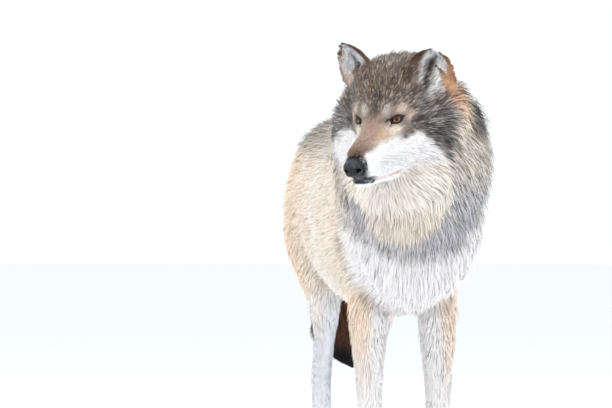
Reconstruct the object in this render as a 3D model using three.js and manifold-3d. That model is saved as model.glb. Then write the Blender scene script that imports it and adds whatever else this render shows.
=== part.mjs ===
// A grey wolf in winter coat, life size, standing still with its head turned to its own right.
// Millimetres, +Z up. The wolf faces -Y, its left side is +X, and its soles are on z = 0.
import * as THREE from 'three';
import { mergeVertices } from 'three/addons/utils/BufferGeometryUtils.js';
import Module from 'manifold-3d';

const wasm = await Module();
wasm.setup();

// ---- driving sizes ----
const GAP = 0.35; // clearance left wherever two pieces meet
const RING_POINTS = 18; // points round each body ring
const LEG_POINTS = 12; // points round each leg ring
const FAR = 2000; // size of the blocks that part the body

const WITHERS = 806; // height of the back over the shoulders, to the coat's tips
const BELLY = 400; // height of the deepest part of the chest
const TRUNK_HALF = 126; // half the trunk's width

const HEAD_AT = new THREE.Vector3(-107, -600, 769); // between the eyes
const HEAD_YAW = -35; // degrees, towards the wolf's right
const HEAD_PITCH = 22; // degrees, nose down
const EYE_SPREAD = 38; // from the middle of the face to the eye's surface
const EYE_RADIUS = 13;
const EYE_OUTWARD = 38; // degrees the eye looks outwards
const EYE_DEPTH = 7.5; // how far the ball's centre lies behind the lids

const FORELEG_SPREAD = 67; // from the middle to a foreleg
const FORELEG_AT = -285; // where the forelegs stand, along y
const HINDLEG_AT = 452; // where the hind cannons stand, along y
const PAW_HEIGHT = 56; // where paws are parted from the legs
const WRIST_HEIGHT = 178;
const HOCK_HEIGHT = 246;
const KNEE_HEIGHT = 405;
const ELBOW_HEIGHT = 455; // where the forelegs are parted from the chest
const HIP_HEIGHT = 590; // where the thighs are parted from the rump

// ---- colours of the coat, bare skin and eyes ----
const COAT = { color: 0xb9ab97, roughness: 0.9, metalness: 0 };
const PALE_COAT = { color: 0xe6ddce, roughness: 0.9, metalness: 0 };
const DARK_COAT = { color: 0x5a4a3c, roughness: 0.9, metalness: 0 };
const EAR_COAT = { color: 0x9a6b4b, roughness: 0.9, metalness: 0 };
const NOSE_SKIN = { color: 0x1d1d20, roughness: 0.5, metalness: 0 };
const EYE_AMBER = { color: 0x7a4a1c, roughness: 0.15, metalness: 0 };

const rad = THREE.MathUtils.degToRad;
const vec = (x, y, z) => new THREE.Vector3(x, y, z);

// ---- solids and booleans ----
function solid(geometry) {
  const bare = geometry.clone();
  bare.deleteAttribute('normal');
  bare.deleteAttribute('uv');
  const merged = mergeVertices(bare, 1e-4);
  return new wasm.Manifold(new wasm.Mesh({
    numProp: 3,
    vertProperties: new Float32Array(merged.attributes.position.array),
    triVerts: new Uint32Array(merged.index.array),
  }));
}

function union(...solids) {
  return solids.reduce((sum, next) => sum.add(next));
}

function geometryOf(body) {
  const mesh = body.getMesh();
  const geometry = new THREE.BufferGeometry();
  const points = new Float32Array(mesh.numVert * 3);
  for (let i = 0; i < mesh.numVert; i++) {
    for (let k = 0; k < 3; k++) points[i * 3 + k] = mesh.vertProperties[i * mesh.numProp + k];
  }
  geometry.setAttribute('position', new THREE.BufferAttribute(points, 3));
  geometry.setIndex(new THREE.BufferAttribute(new Uint32Array(mesh.triVerts), 1));
  geometry.computeVertexNormals();
  return geometry;
}

// The largest connected lump of a solid, so that a cut leaves no crumbs.
function mainLump(body) {
  const lumps = body.decompose();
  return lumps.reduce((best, next) => (next.volume() > best.volume() ? next : best));
}

// A block filling the half space on the far side of a plane, away from its normal.
function behind(point, normal, inset = GAP / 2) {
  const n = normal.clone().normalize();
  const block = new THREE.BoxGeometry(FAR, FAR, FAR);
  block.translate(0, 0, -FAR / 2 - inset);
  block.applyQuaternion(new THREE.Quaternion().setFromUnitVectors(vec(0, 0, 1), n));
  block.translate(point.x, point.y, point.z);
  return solid(block);
}

const infront = (point, normal) => behind(point, normal.clone().negate());
const below = (z) => behind(vec(0, 0, z), vec(0, 0, 1));
const above = (z) => behind(vec(0, 0, z), vec(0, 0, -1));

// ---- lofts ----
// One ring: a rounded outline round `at`, spread along `side` and `up`.
// power 2 is an ellipse, more is squarer.
function ring({ at, side, up, half, top, bottom, power = 2.2 }, count) {
  const points = [];
  for (let i = 0; i < count; i++) {
    const angle = (2 * Math.PI * i) / count;
    const across = Math.cos(angle);
    const along = Math.sin(angle);
    const bend = 2 / power;
    const a = Math.sign(across) * Math.abs(across) ** bend * half;
    const b = Math.sign(along) * Math.abs(along) ** bend * (along > 0 ? top : bottom);
    points.push(at.clone().addScaledVector(side, a).addScaledVector(up, b));
  }
  return points;
}

// A closed skin through rings of equal count, with a flat cap at each end.
function skin(rings) {
  const count = rings[0].length;
  const points = rings.flat();
  const index = [];
  for (let r = 0; r + 1 < rings.length; r++) {
    for (let i = 0; i < count; i++) {
      const j = (i + 1) % count;
      const a = r * count + i;
      const b = r * count + j;
      index.push(a, b, a + count, b, b + count, a + count);
    }
  }
  const last = (rings.length - 1) * count;
  for (let i = 1; i + 1 < count; i++) {
    index.push(0, i + 1, i);
    index.push(last, last + i, last + i + 1);
  }
  const geometry = new THREE.BufferGeometry().setFromPoints(points);
  geometry.setIndex(index);
  const body = solid(geometry);
  return body.volume() < 0 ? solid(flipped(geometry)) : body;
}

function flipped(geometry) {
  const turned = geometry.clone();
  const index = turned.index.array;
  for (let i = 0; i < index.length; i += 3) [index[i], index[i + 1]] = [index[i + 1], index[i]];
  return turned;
}

// Smooth values between key stations: each key is an object of numbers, `along` is its place.
function stationsBetween(keys, steps) {
  const names = Object.keys(keys[0]);
  const made = [];
  for (let k = 0; k + 1 < keys.length; k++) {
    const before = keys[Math.max(k - 1, 0)];
    const from = keys[k];
    const to = keys[k + 1];
    const after = keys[Math.min(k + 2, keys.length - 1)];
    for (let s = 0; s < steps; s++) made.push(mixStation(names, before, from, to, after, s / steps));
  }
  made.push({ ...keys[keys.length - 1] });
  return made;
}

function mixStation(names, before, from, to, after, t) {
  const station = {};
  for (const name of names) {
    const span = to.along - from.along;
    const slopeIn = before === from ? (to[name] - from[name]) / span
      : (to[name] - before[name]) / (to.along - before.along);
    const slopeOut = after === to ? (to[name] - from[name]) / span
      : (after[name] - from[name]) / (after.along - from.along);
    const t2 = t * t;
    const t3 = t2 * t;
    station[name] = (2 * t3 - 3 * t2 + 1) * from[name] + (t3 - 2 * t2 + t) * span * slopeIn
      + (3 * t2 - 2 * t3) * to[name] + (t3 - t2) * span * slopeOut;
  }
  return station;
}

// A body whose rings stand upright across the y axis: widths, and heights of back and belly.
function uprightLoft(keys, steps, grow = 0, count = RING_POINTS) {
  const rings = stationsBetween(keys, steps).map((s) => ring({
    at: vec(s.x, s.along, s.waist),
    side: vec(1, 0, 0),
    up: vec(0, 0, 1),
    half: s.half + grow,
    top: s.top - s.waist + grow,
    bottom: s.waist - s.bottom + grow,
    power: s.power,
  }, count));
  return skin(rings);
}

// A limb: rings across a path, `wide` along the side and `deep` fore and aft.
function limbLoft(keys, steps, grow = 0, count = LEG_POINTS) {
  const stations = stationsBetween(keys, steps);
  const centres = stations.map((s) => vec(s.x, s.y, s.z));
  const rings = stations.map((s, i) => {
    const forward = centres[Math.min(i + 1, centres.length - 1)].clone()
      .sub(centres[Math.max(i - 1, 0)]).normalize();
    const side = vec(1, 0, 0).addScaledVector(forward, -forward.x).normalize();
    const up = new THREE.Vector3().crossVectors(side, forward).normalize();
    return ring({
      at: centres[i], side, up, half: s.wide + grow, top: s.deep + grow, bottom: s.deep + grow, power: 2.2,
    }, count);
  });
  return skin(rings);
}

function ball(at, radii, across = 14, down = 9) {
  const geometry = new THREE.SphereGeometry(1, across, down);
  geometry.rotateX(Math.PI / 2);
  geometry.scale(radii.x, radii.y, radii.z);
  geometry.translate(at.x, at.y, at.z);
  return solid(geometry);
}

// ---- the head, made level and facing -Y with the point between the eyes at the origin ----
const headTurn = new THREE.Quaternion().setFromAxisAngle(vec(0, 0, 1), rad(HEAD_YAW))
  .multiply(new THREE.Quaternion().setFromAxisAngle(vec(1, 0, 0), rad(HEAD_PITCH)));
const headPlace = new THREE.Matrix4().compose(HEAD_AT, headTurn, vec(1, 1, 1));

function onHead(body) {
  return solid(geometryOf(body).applyMatrix4(headPlace));
}

const headPoint = (x, y, z) => vec(x, y, z).applyMatrix4(headPlace);
const headDirection = (x, y, z) => vec(x, y, z).applyQuaternion(headTurn);

const MOUTH_FRONT = vec(0, -124, -66); // the mouth's line, front and back
const MOUTH_BACK = vec(0, -28, -81);
const MUZZLE_ROOT = -26; // where the muzzle is parted from the face, along y
const NOSE_ROOT = -116; // where the bare nose starts

function craniumShape() {
  return uprightLoft([
    { along: -40, x: 0, half: 22, waist: -20, top: -4, bottom: -62, power: 2.1 },
    { along: -12, x: 0, half: 37, waist: -20, top: 16, bottom: -80, power: 2.1 },
    { along: 14, x: 0, half: 57, waist: -18, top: 42, bottom: -84, power: 2.3 },
    { along: 42, x: 0, half: 74, waist: -12, top: 64, bottom: -84, power: 2.4 },
    { along: 72, x: 0, half: 87, waist: -6, top: 79, bottom: -84, power: 2.5 },
    { along: 106, x: 0, half: 95, waist: 0, top: 86, bottom: -84, power: 2.5 },
    { along: 140, x: 0, half: 94, waist: 0, top: 83, bottom: -84, power: 2.4 },
    { along: 172, x: 0, half: 80, waist: -6, top: 68, bottom: -80, power: 2.2 },
  ], 1, 0, 16);
}

// The ruff of long hair that widens the face below the ears.
function ruffShape() {
  return uprightLoft([
    { along: -14, x: 0, half: 40, waist: -62, top: -32, bottom: -98, power: 2 },
    { along: 12, x: 0, half: 70, waist: -60, top: -8, bottom: -117, power: 2 },
    { along: 42, x: 0, half: 104, waist: -56, top: 20, bottom: -133, power: 2 },
    { along: 72, x: 0, half: 127, waist: -52, top: 36, bottom: -145, power: 2 },
    { along: 106, x: 0, half: 133, waist: -48, top: 46, bottom: -147, power: 2 },
    { along: 140, x: 0, half: 125, waist: -44, top: 46, bottom: -136, power: 2 },
    { along: 172, x: 0, half: 98, waist: -40, top: 30, bottom: -112, power: 2 },
  ], 1, 0, 18);
}

function muzzleShape() {
  return uprightLoft([
    { along: -122, x: 0, half: 17, waist: -46, top: -22, bottom: -76, power: 2.6 },
    { along: -112, x: 0, half: 23, waist: -48, top: -15, bottom: -80, power: 2.5 },
    { along: -84, x: 0, half: 29, waist: -52, top: -9, bottom: -84, power: 2.2 },
    { along: -52, x: 0, half: 33, waist: -54, top: -3, bottom: -90, power: 2 },
    { along: -20, x: 0, half: 42, waist: -54, top: 12, bottom: -98, power: 1.9 },
    { along: 20, x: 0, half: 54, waist: -50, top: 30, bottom: -104, power: 2.1 },
  ], 1, 0, 18);
}

function jawShape() {
  return uprightLoft([
    { along: -116, x: 0, half: 13, waist: -76, top: -66, bottom: -88, power: 2.4 },
    { along: -106, x: 0, half: 19, waist: -76, top: -60, bottom: -93, power: 2.3 },
    { along: -80, x: 0, half: 23, waist: -78, top: -60, bottom: -98, power: 2.2 },
    { along: -50, x: 0, half: 28, waist: -82, top: -60, bottom: -105, power: 2.2 },
    { along: -10, x: 0, half: 42, waist: -86, top: -60, bottom: -116, power: 2.1 },
    { along: 20, x: 0, half: 56, waist: -90, top: -60, bottom: -122, power: 2 },
  ], 1, 0, 16);
}

// The bare nose: a rounded pad with two nostrils.
function noseShape() {
  const pad = uprightLoft([
    { along: -104, x: 0, half: 15, waist: -44, top: -29, bottom: -59, power: 2.3 },
    { along: -116, x: 0, half: 20, waist: -44, top: -26, bottom: -63, power: 2.4 },
    { along: -125, x: 0, half: 20, waist: -44, top: -28, bottom: -63, power: 2.3 },
    { along: -131, x: 0, half: 12, waist: -45, top: -34, bottom: -59, power: 2.1 },
  ], 1, 0, 12);
  const nostril = (side) => ball(vec(side * 13, -130, -46), vec(5.5, 7, 5), 8, 5);
  return pad.subtract(nostril(-1)).subtract(nostril(1));
}

function eyeCentre(side) {
  const out = rad(EYE_OUTWARD);
  return vec(side * (EYE_SPREAD - EYE_DEPTH * Math.sin(out)), EYE_DEPTH * Math.cos(out), 0);
}

// The hollow in which an eye sits, between brow, cheek and the root of the muzzle.
function eyeHollow(side) {
  const out = rad(EYE_OUTWARD);
  const geometry = new THREE.SphereGeometry(1, 12, 8);
  geometry.scale(21, 19, 15);
  geometry.rotateZ(side * out);
  const away = 17;
  geometry.translate(side * (EYE_SPREAD + away * Math.sin(out)), -away * Math.cos(out), 1);
  return solid(geometry);
}

// An ear: a cupped leaf between an inner and an outer edge that meet in a rounded tip.
// The right ear is splayed wider than the left and held more upright.
const EAR_TIP = { 1: vec(88, 97, 97), '-1': vec(110, 100, 112) };
const EAR_SHOULDER = { 1: vec(26, 12, -10), '-1': vec(6, 6, -26) }; // from the tip, the outer edge's pull
const EAR_BROW = { 1: vec(-26, -5, 5), '-1': vec(-40, -5, 2) }; // from the tip, the inner edge's pull
const EAR_RISE = { 1: 92, '-1': 104 }; // height up to which the inner edge climbs steeply
const EAR_FACES = vec(0.64, -0.77, 0); // the way the ear opens
const EAR_CUP = 24; // depth of the cup at the ear's foot
const EAR_THICK = 9; // thickness of the ear with its coat

function earEdges(side) {
  const tip = EAR_TIP[side];
  const inner = [vec(32, 78, 52), vec(36, 76, EAR_RISE[side]), tip.clone().add(EAR_BROW[side]), tip];
  const outer = [vec(80, 120, -14), vec(140, 124, 22), tip.clone().add(EAR_SHOULDER[side]), tip];
  return [new THREE.CubicBezierCurve3(...inner), new THREE.CubicBezierCurve3(...outer)];
}

function earShape(side) {
  const rows = 6;
  const columns = 6;
  const [inner, outer] = earEdges(side);
  const front = [];
  const back = [];
  for (let r = 0; r <= rows; r++) {
    const t = r / rows;
    const tipward = Math.min(t, 0.94);
    for (let c = 0; c <= columns; c++) {
      const s = c / columns;
      const bow = 4 * s * (1 - s);
      const point = inner.getPoint(tipward).lerp(outer.getPoint(tipward), s);
      point.addScaledVector(EAR_FACES, -EAR_CUP * (1 - 0.75 * t) * bow);
      const rear = point.clone().addScaledVector(EAR_FACES, -EAR_THICK * (0.45 + 0.55 * bow));
      front.push(vec(side * point.x, point.y, point.z));
      back.push(vec(side * rear.x, rear.y, rear.z));
    }
  }
  return solid(slab(front, back, rows, columns, side));
}

// Joins two like grids of points, front and back, into one closed slab.
function slab(front, back, rows, columns, side) {
  const wide = columns + 1;
  const total = front.length;
  const index = [];
  const quad = (a, b, c, d) => index.push(a, b, c, a, c, d);
  for (let r = 0; r < rows; r++) {
    for (let c = 0; c < columns; c++) {
      const a = r * wide + c;
      quad(a, a + 1, a + 1 + wide, a + wide);
      quad(total + a, total + a + wide, total + a + 1 + wide, total + a + 1);
    }
  }
  for (let c = 0; c < columns; c++) {
    quad(c, total + c, total + c + 1, c + 1);
    const top = rows * wide + c;
    quad(top + 1, total + top + 1, total + top, top);
  }
  for (let r = 0; r < rows; r++) {
    const first = r * wide;
    const last = r * wide + columns;
    quad(first + wide, total + first + wide, total + first, first);
    quad(last, total + last, total + last + wide, last + wide);
  }
  const geometry = new THREE.BufferGeometry().setFromPoints([...front, ...back]);
  geometry.setIndex(index);
  return side > 0 ? geometry : flipped(geometry);
}

// ---- trunk, neck and tail ----
function trunkShape() {
  const back = WITHERS;
  return uprightLoft([
    { along: -456, x: -4, half: 58, waist: 578, top: 640, bottom: 528, power: 2 },
    { along: -436, x: 4, half: 106, waist: 584, top: 690, bottom: 478, power: 2 },
    { along: -392, x: 7, half: 131, waist: 592, top: 730, bottom: 428, power: 2.05 },
    { along: -300, x: 2, half: 122, waist: 595, top: back - 8, bottom: BELLY, power: 2.2 },
    { along: -190, x: 0, half: 121, waist: 595, top: back, bottom: BELLY - 2, power: 2.3 },
    { along: -50, x: 0, half: TRUNK_HALF, waist: 595, top: back - 13, bottom: BELLY, power: 2.3 },
    { along: 90, x: 1, half: TRUNK_HALF - 2, waist: 600, top: back - 15, bottom: BELLY + 14, power: 2.25 },
    { along: 210, x: 0, half: TRUNK_HALF - 1, waist: 615, top: back - 9, bottom: BELLY + 46, power: 2.45 },
    { along: 320, x: 0, half: TRUNK_HALF + 1, waist: 636, top: back - 14, bottom: BELLY + 86, power: 2.55 },
    { along: 400, x: 3, half: 113, waist: 648, top: back - 38, bottom: BELLY + 128, power: 2.3 },
    { along: 446, x: 8, half: 74, waist: 645, top: back - 82, bottom: BELLY + 168, power: 2 },
    { along: 464, x: 8, half: 38, waist: 645, top: back - 122, bottom: BELLY + 206, power: 2 },
  ], 1);
}

const NECK_STATIONS = [
  { along: 0, x: 0, y: -190, z: 640, half: 104, top: 140, bottom: 150 },
  { along: 1, x: 2, y: -300, z: 662, half: 131, top: 146, bottom: 172 },
  { along: 2, x: -2, y: -392, z: 688, half: 147, top: 146, bottom: 178 },
  { along: 3, x: -22, y: -456, z: 736, half: 144, top: 126, bottom: 166 },
  { along: 4, x: -48, y: -508, z: 782, half: 134, top: 104, bottom: 130 },
  { along: 5, x: -62, y: -544, z: 800, half: 100, top: 72, bottom: 96 },
];

function neckShape() {
  const stations = stationsBetween(NECK_STATIONS, 1);
  const centres = stations.map((s) => vec(s.x, s.y, s.z));
  const rings = stations.map((s, i) => {
    const forward = centres[Math.min(i + 1, centres.length - 1)].clone()
      .sub(centres[Math.max(i - 1, 0)]).normalize();
    const side = new THREE.Vector3().crossVectors(forward, vec(0, 0, 1)).normalize();
    const up = new THREE.Vector3().crossVectors(side, forward).normalize();
    return ring({ at: centres[i], side, up, half: s.half, top: s.top, bottom: s.bottom }, RING_POINTS);
  });
  return skin(rings);
}

function tailShape(grow = 0) {
  return limbLoft([
    { along: 0, x: 8, y: 400, z: 722, wide: 20, deep: 20 },
    { along: 1, x: 8, y: 450, z: 702, wide: 32, deep: 32 },
    { along: 2, x: 9, y: 496, z: 634, wide: 40, deep: 38 },
    { along: 3, x: 11, y: 516, z: 530, wide: 46, deep: 44 },
    { along: 4, x: 4, y: 522, z: 430, wide: 49, deep: 44 },
    { along: 5, x: 1, y: 522, z: 340, wide: 47, deep: 38 },
    { along: 6, x: 24, y: 518, z: 296, wide: 26, deep: 20 },
    { along: 7, x: 42, y: 516, z: 268, wide: 4, deep: 4 },
  ], 1, grow, 12);
}

// ---- legs ----
function forelegShape(side, grow = 0) {
  const x = side * FORELEG_SPREAD;
  const y = FORELEG_AT;
  return limbLoft([
    { along: 0, x: side * 66, y: y + 36, z: 600, wide: 48, deep: 96 },
    { along: 1, x: side * 67, y: y + 30, z: 520, wide: 48, deep: 84 },
    { along: 2, x, y: y + 22, z: ELBOW_HEIGHT, wide: 42, deep: 60 },
    { along: 3, x, y: y + 12, z: 385, wide: 38, deep: 42 },
    { along: 4, x, y: y + 4, z: 300, wide: 29, deep: 32 },
    { along: 5, x, y, z: 225, wide: 25, deep: 27 },
    { along: 6, x, y: y - 2, z: WRIST_HEIGHT, wide: 27, deep: 29 },
    { along: 7, x, y: y - 4, z: 120, wide: 25, deep: 25 },
    { along: 8, x, y: y - 12, z: 66, wide: 27, deep: 27 },
    { along: 9, x, y: y - 20, z: 22, wide: 28, deep: 26 },
  ], 1, grow);
}

function hindlegShape(side, foot, grow = 0) {
  const { x, y } = foot;
  return limbLoft([
    { along: 0, x: side * 68, y: 352, z: 690, wide: 52, deep: 78 },
    { along: 1, x: side * 76, y: 350, z: 620, wide: 59, deep: 92 },
    { along: 2, x: side * 76, y: 338, z: 540, wide: 57, deep: 95 },
    { along: 3, x: side * 66 + 4, y: 326, z: 470, wide: 47, deep: 84 },
    { along: 4, x: (side * 68 + x) / 2, y: 334, z: KNEE_HEIGHT, wide: 32, deep: 66 },
    { along: 5, x: side * 4 + (side * 56 + x * 3) / 4, y: y - 76, z: 345, wide: 20, deep: 46 },
    { along: 6, x: x + side * 2, y: y - 26, z: 290, wide: 21, deep: 35 },
    { along: 7, x: x + side, y: y + 6, z: HOCK_HEIGHT, wide: 21, deep: 33 },
    { along: 8, x: x + side, y, z: 190, wide: 21, deep: 26 },
    { along: 9, x, y: y - 6, z: 110, wide: 21, deep: 23 },
    { along: 10, x, y: y - 14, z: 60, wide: 24, deep: 25 },
    { along: 11, x, y: y - 24, z: 20, wide: 25, deep: 24 },
  ], 1, grow);
}

// A paw with four toes and claws, its soles cut flat on the floor.
const PAW = { toeLong: 27, toeWide: 14.5, toeHigh: 19, clawLong: 15, clawThick: 4 };

function pawShape(x, y, size) {
  const heel = ball(vec(x, y + 10 * size, 24 * size), vec(35, 42, 30).multiplyScalar(size), 10, 6);
  const toes = [];
  for (const side of [-1, 1]) {
    toes.push(toeShape(x + side * 28 * size, y - 20 * size, size, side * 9));
    toes.push(toeShape(x + side * 11 * size, y - 36 * size, size, side * 3));
  }
  return union(heel, ...toes);
}

function toeShape(x, y, size, splay) {
  const toe = new THREE.SphereGeometry(1, 8, 5);
  toe.rotateX(Math.PI / 2);
  toe.scale(PAW.toeWide * size, PAW.toeLong * size, PAW.toeHigh * size);
  toe.translate(0, 0, 15 * size);
  const claw = new THREE.ConeGeometry(PAW.clawThick, PAW.clawLong, 4);
  claw.rotateX(rad(108));
  claw.translate(0, -(PAW.toeLong + 1) * size, 8 * size);
  const shapes = [toe, claw].map((shape) => {
    shape.rotateZ(rad(splay));
    shape.translate(x, y, 0);
    return solid(shape);
  });
  return union(...shapes);
}

// ---- parting the body into named pieces ----
function headPieces(pieces) {
  const noseGap = behind(vec(0, NOSE_ROOT, 0), vec(0, 1, 0));
  const nose = noseShape().intersect(noseGap);
  const slope = MOUTH_BACK.clone().sub(MOUTH_FRONT);
  const mouthNormal = vec(0, -slope.z, slope.y).normalize();
  const overMouth = infront(MOUTH_FRONT, mouthNormal);
  const underMouth = behind(MOUTH_FRONT, mouthNormal);
  const snout = behind(vec(0, MUZZLE_ROOT, 0), vec(0, 1, 0));
  const face = infront(vec(0, MUZZLE_ROOT, 0), vec(0, 1, 0));
  const behindNose = infront(vec(0, NOSE_ROOT, 0), vec(0, 1, 0));
  let head = union(craniumShape(), ruffShape(), muzzleShape(), jawShape());
  for (const side of [-1, 1]) {
    head = head.subtract(eyeHollow(side));
    head = head.subtract(ball(eyeCentre(side), vec(1, 1, 1).multiplyScalar(EYE_RADIUS + GAP), 12, 8));
  }
  const upper = union(muzzleShape(), craniumShape());
  const muzzle = upper.intersect(overMouth).intersect(behindNose).intersect(snout);
  for (const side of [-1, 1]) {
    const eye = ball(eyeCentre(side), vec(1, 1, 1).multiplyScalar(EYE_RADIUS), 12, 8);
    pieces[side > 0 ? 'eye_left' : 'eye_right'] = [onHead(eye), EYE_AMBER];
  }
  pieces.nose = [onHead(nose), NOSE_SKIN];
  let clearMuzzle = muzzle;
  for (const side of [-1, 1]) clearMuzzle = clearMuzzle.subtract(eyeHollow(side));
  pieces.muzzle = [onHead(mainLump(clearMuzzle)), PALE_COAT];
  pieces.lower_jaw = [onHead(mainLump(jawShape().intersect(underMouth).intersect(snout))), PALE_COAT];
  return onHead(mainLump(head.intersect(face)));
}

const LEGS = {
  left: { side: 1, hind: { x: 62, y: HINDLEG_AT + 6 } },
  right: { side: -1, hind: { x: -39, y: HINDLEG_AT } },
};

function build() {
  const pieces = {};
  const skull = headPieces(pieces);

  for (const side of [-1, 1]) {
    pieces[side > 0 ? 'ear_left' : 'ear_right'] = [onHead(earShape(side)), EAR_COAT];
  }

  // the whole of neck, chest and skull, parted by two planes
  const headCut = { at: headPoint(0, 104, 0), facing: headDirection(0, -1, 0.1).setZ(0.05) };
  const neckCut = { at: vec(0, -352, 690), facing: vec(-0.08, -0.74, 0.52) };
  const trunk = trunkShape();
  const neckWhole = union(neckShape(), trunk, skull);
  const headBlock = infront(headCut.at, headCut.facing);
  const behindHead = behind(headCut.at, headCut.facing);
  const neckBlock = infront(neckCut.at, neckCut.facing);
  const behindNeck = behind(neckCut.at, neckCut.facing);

  let head = union(skull, neckShape().intersect(infront(headPoint(0, MUZZLE_ROOT, 0), headDirection(0, 1, 0))))
    .intersect(headBlock);
  for (const side of [-1, 1]) {
    head = head.subtract(onHead(eyeHollow(side)));
    const socket = ball(eyeCentre(side), vec(1, 1, 1).multiplyScalar(EYE_RADIUS + GAP), 12, 8);
    head = head.subtract(onHead(socket));
  }
  pieces.head = [head, COAT];
  pieces.neck = [neckWhole.intersect(behindHead).intersect(neckBlock), COAT];

  // legs, each parted across its joints
  let chest = union(trunk, neckShape()).intersect(behindNeck);
  let rump = trunk;
  for (const [name, leg] of Object.entries(LEGS)) {
    const fore = forelegShape(leg.side);
    chest = chest.add(fore.intersect(above(ELBOW_HEIGHT)));
    chest = chest.subtract(forelegShape(leg.side, GAP).intersect(below(ELBOW_HEIGHT + GAP / 2)));
    const foot = vec(leg.side * FORELEG_SPREAD, FORELEG_AT - 28, 0);
    const forepaw = pawShape(foot.x, foot.y, 1);
    pieces[`foreleg_upper_${name}`] = [fore.intersect(below(ELBOW_HEIGHT)).intersect(above(WRIST_HEIGHT)), PALE_COAT];
    pieces[`foreleg_lower_${name}`] = [fore.intersect(below(WRIST_HEIGHT)).intersect(above(PAW_HEIGHT)), PALE_COAT];
    pieces[`forepaw_${name}`] = [
      union(fore, forepaw).intersect(below(PAW_HEIGHT)).intersect(above(-GAP / 2)), PALE_COAT,
    ];

    const hind = hindlegShape(leg.side, leg.hind);
    rump = rump.add(hind.intersect(above(HIP_HEIGHT)));
    rump = rump.subtract(hindlegShape(leg.side, leg.hind, GAP).intersect(below(HIP_HEIGHT + GAP / 2)));
    const hindpaw = pawShape(leg.hind.x, leg.hind.y - 40, 0.9);
    pieces[`thigh_${name}`] = [hind.intersect(below(HIP_HEIGHT)).intersect(above(KNEE_HEIGHT)), COAT];
    pieces[`shank_${name}`] = [hind.intersect(below(KNEE_HEIGHT)).intersect(above(HOCK_HEIGHT)), PALE_COAT];
    pieces[`hindleg_lower_${name}`] = [hind.intersect(below(HOCK_HEIGHT)).intersect(above(PAW_HEIGHT)), PALE_COAT];
    pieces[`hindpaw_${name}`] = [
      union(hind, hindpaw).intersect(below(PAW_HEIGHT)).intersect(above(-GAP / 2)), PALE_COAT,
    ];
  }

  // trunk in three lengths
  const frontCut = { at: vec(0, -120, 0), facing: vec(0, -1, 0) };
  const rearCut = { at: vec(0, 190, 0), facing: vec(0, -1, 0) };
  const middle = trunk.intersect(behind(frontCut.at, frontCut.facing)).intersect(infront(rearCut.at, rearCut.facing));
  pieces.trunk_front = [chest.intersect(infront(frontCut.at, frontCut.facing)), COAT];
  pieces.trunk_middle = [middle, COAT];
  pieces.trunk_rear = [rump.subtract(tailShape(GAP)).intersect(behind(rearCut.at, rearCut.facing)), COAT];

  // tail in three lengths
  const tail = tailShape();
  pieces.tail_base = [tail.intersect(above(560)), COAT];
  pieces.tail_middle = [tail.intersect(below(560)).intersect(above(400)), DARK_COAT];
  pieces.tail_tip = [tail.intersect(below(400)), DARK_COAT];

  // the ears stand on the head and neck, lifted clear of them by a hair
  for (const side of [-1, 1]) {
    const ear = pieces[side > 0 ? 'ear_left' : 'ear_right'];
    const lift = headDirection(side * 0.5, 0, 0.85).multiplyScalar(2 * GAP);
    const standing = mainLump(ear[0].subtract(neckWhole));
    ear[0] = solid(geometryOf(standing).translate(lift.x, lift.y, lift.z));
  }
  return pieces;
}

const root = new THREE.Group();
root.name = 'grey_wolf';
for (const [name, [body, look]] of Object.entries(build())) {
  const mesh = new THREE.Mesh(geometryOf(mainLump(body)), new THREE.MeshStandardMaterial(look));
  mesh.name = name;
  root.add(mesh);
}
const bounds = new THREE.Box3().setFromObject(root);
const centre = bounds.getCenter(vec(0, 0, 0));
for (const mesh of root.children) mesh.position.set(-centre.x, -centre.y, -bounds.min.z);

export default root;
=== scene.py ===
"""The looks of a life-size grey wolf in winter coat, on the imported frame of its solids.

One skin stands for all the nodes of flesh and lies inside them by the coat's depth. Over it lies the coat,
as short bent blades of mesh that follow the lie of the hair. Working sizes are millimetres in body axes:
the wolf faces -Y, its left is +X and the floor is z = 0. Head sizes are in head axes: x to the wolf's left,
y backwards and z upwards from the point between the eyes.
"""

import math

import bpy
import bmesh
import numpy as np
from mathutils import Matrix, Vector, kdtree


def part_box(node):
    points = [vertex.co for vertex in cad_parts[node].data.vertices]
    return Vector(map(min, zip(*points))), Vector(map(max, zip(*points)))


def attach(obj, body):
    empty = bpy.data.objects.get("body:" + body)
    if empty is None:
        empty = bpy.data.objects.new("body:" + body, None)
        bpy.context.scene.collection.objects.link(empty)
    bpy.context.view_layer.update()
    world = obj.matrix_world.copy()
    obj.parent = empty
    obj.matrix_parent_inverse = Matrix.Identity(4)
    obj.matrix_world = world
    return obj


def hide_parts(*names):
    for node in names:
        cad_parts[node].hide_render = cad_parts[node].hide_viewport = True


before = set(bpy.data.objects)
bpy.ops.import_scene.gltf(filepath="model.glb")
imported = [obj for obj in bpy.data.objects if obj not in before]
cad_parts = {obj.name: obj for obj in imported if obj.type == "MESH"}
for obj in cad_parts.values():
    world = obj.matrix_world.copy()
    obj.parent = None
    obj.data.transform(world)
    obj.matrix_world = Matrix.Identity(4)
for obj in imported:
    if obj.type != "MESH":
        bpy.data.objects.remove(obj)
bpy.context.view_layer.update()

# ---- the head's place, as the solids have it ----
HEAD_YAW = math.radians(-35)
HEAD_PITCH = math.radians(22)
HEAD_AT = np.array([-107.0, -600.0, 769.0])
EYE_RADIUS = 13.0
EYE_OUTWARD = math.radians(38)
EYE_BEHIND = 5.91  # how far the eyes' centres lie behind the point between the lids

VOXEL = 3.4  # grain of the skin before it is thinned out
SKIN_FACES = 105000  # faces kept in the skin before the face is made finer
SIDES = (-1, 1)


def turn_z(angle):
    c, s = math.cos(angle), math.sin(angle)
    return np.array([[c, -s, 0], [s, c, 0], [0, 0, 1.0]])


def turn_x(angle):
    c, s = math.cos(angle), math.sin(angle)
    return np.array([[1.0, 0, 0], [0, c, -s], [0, s, c]])


HEAD_AXES = turn_z(HEAD_YAW) @ turn_x(HEAD_PITCH)


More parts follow.
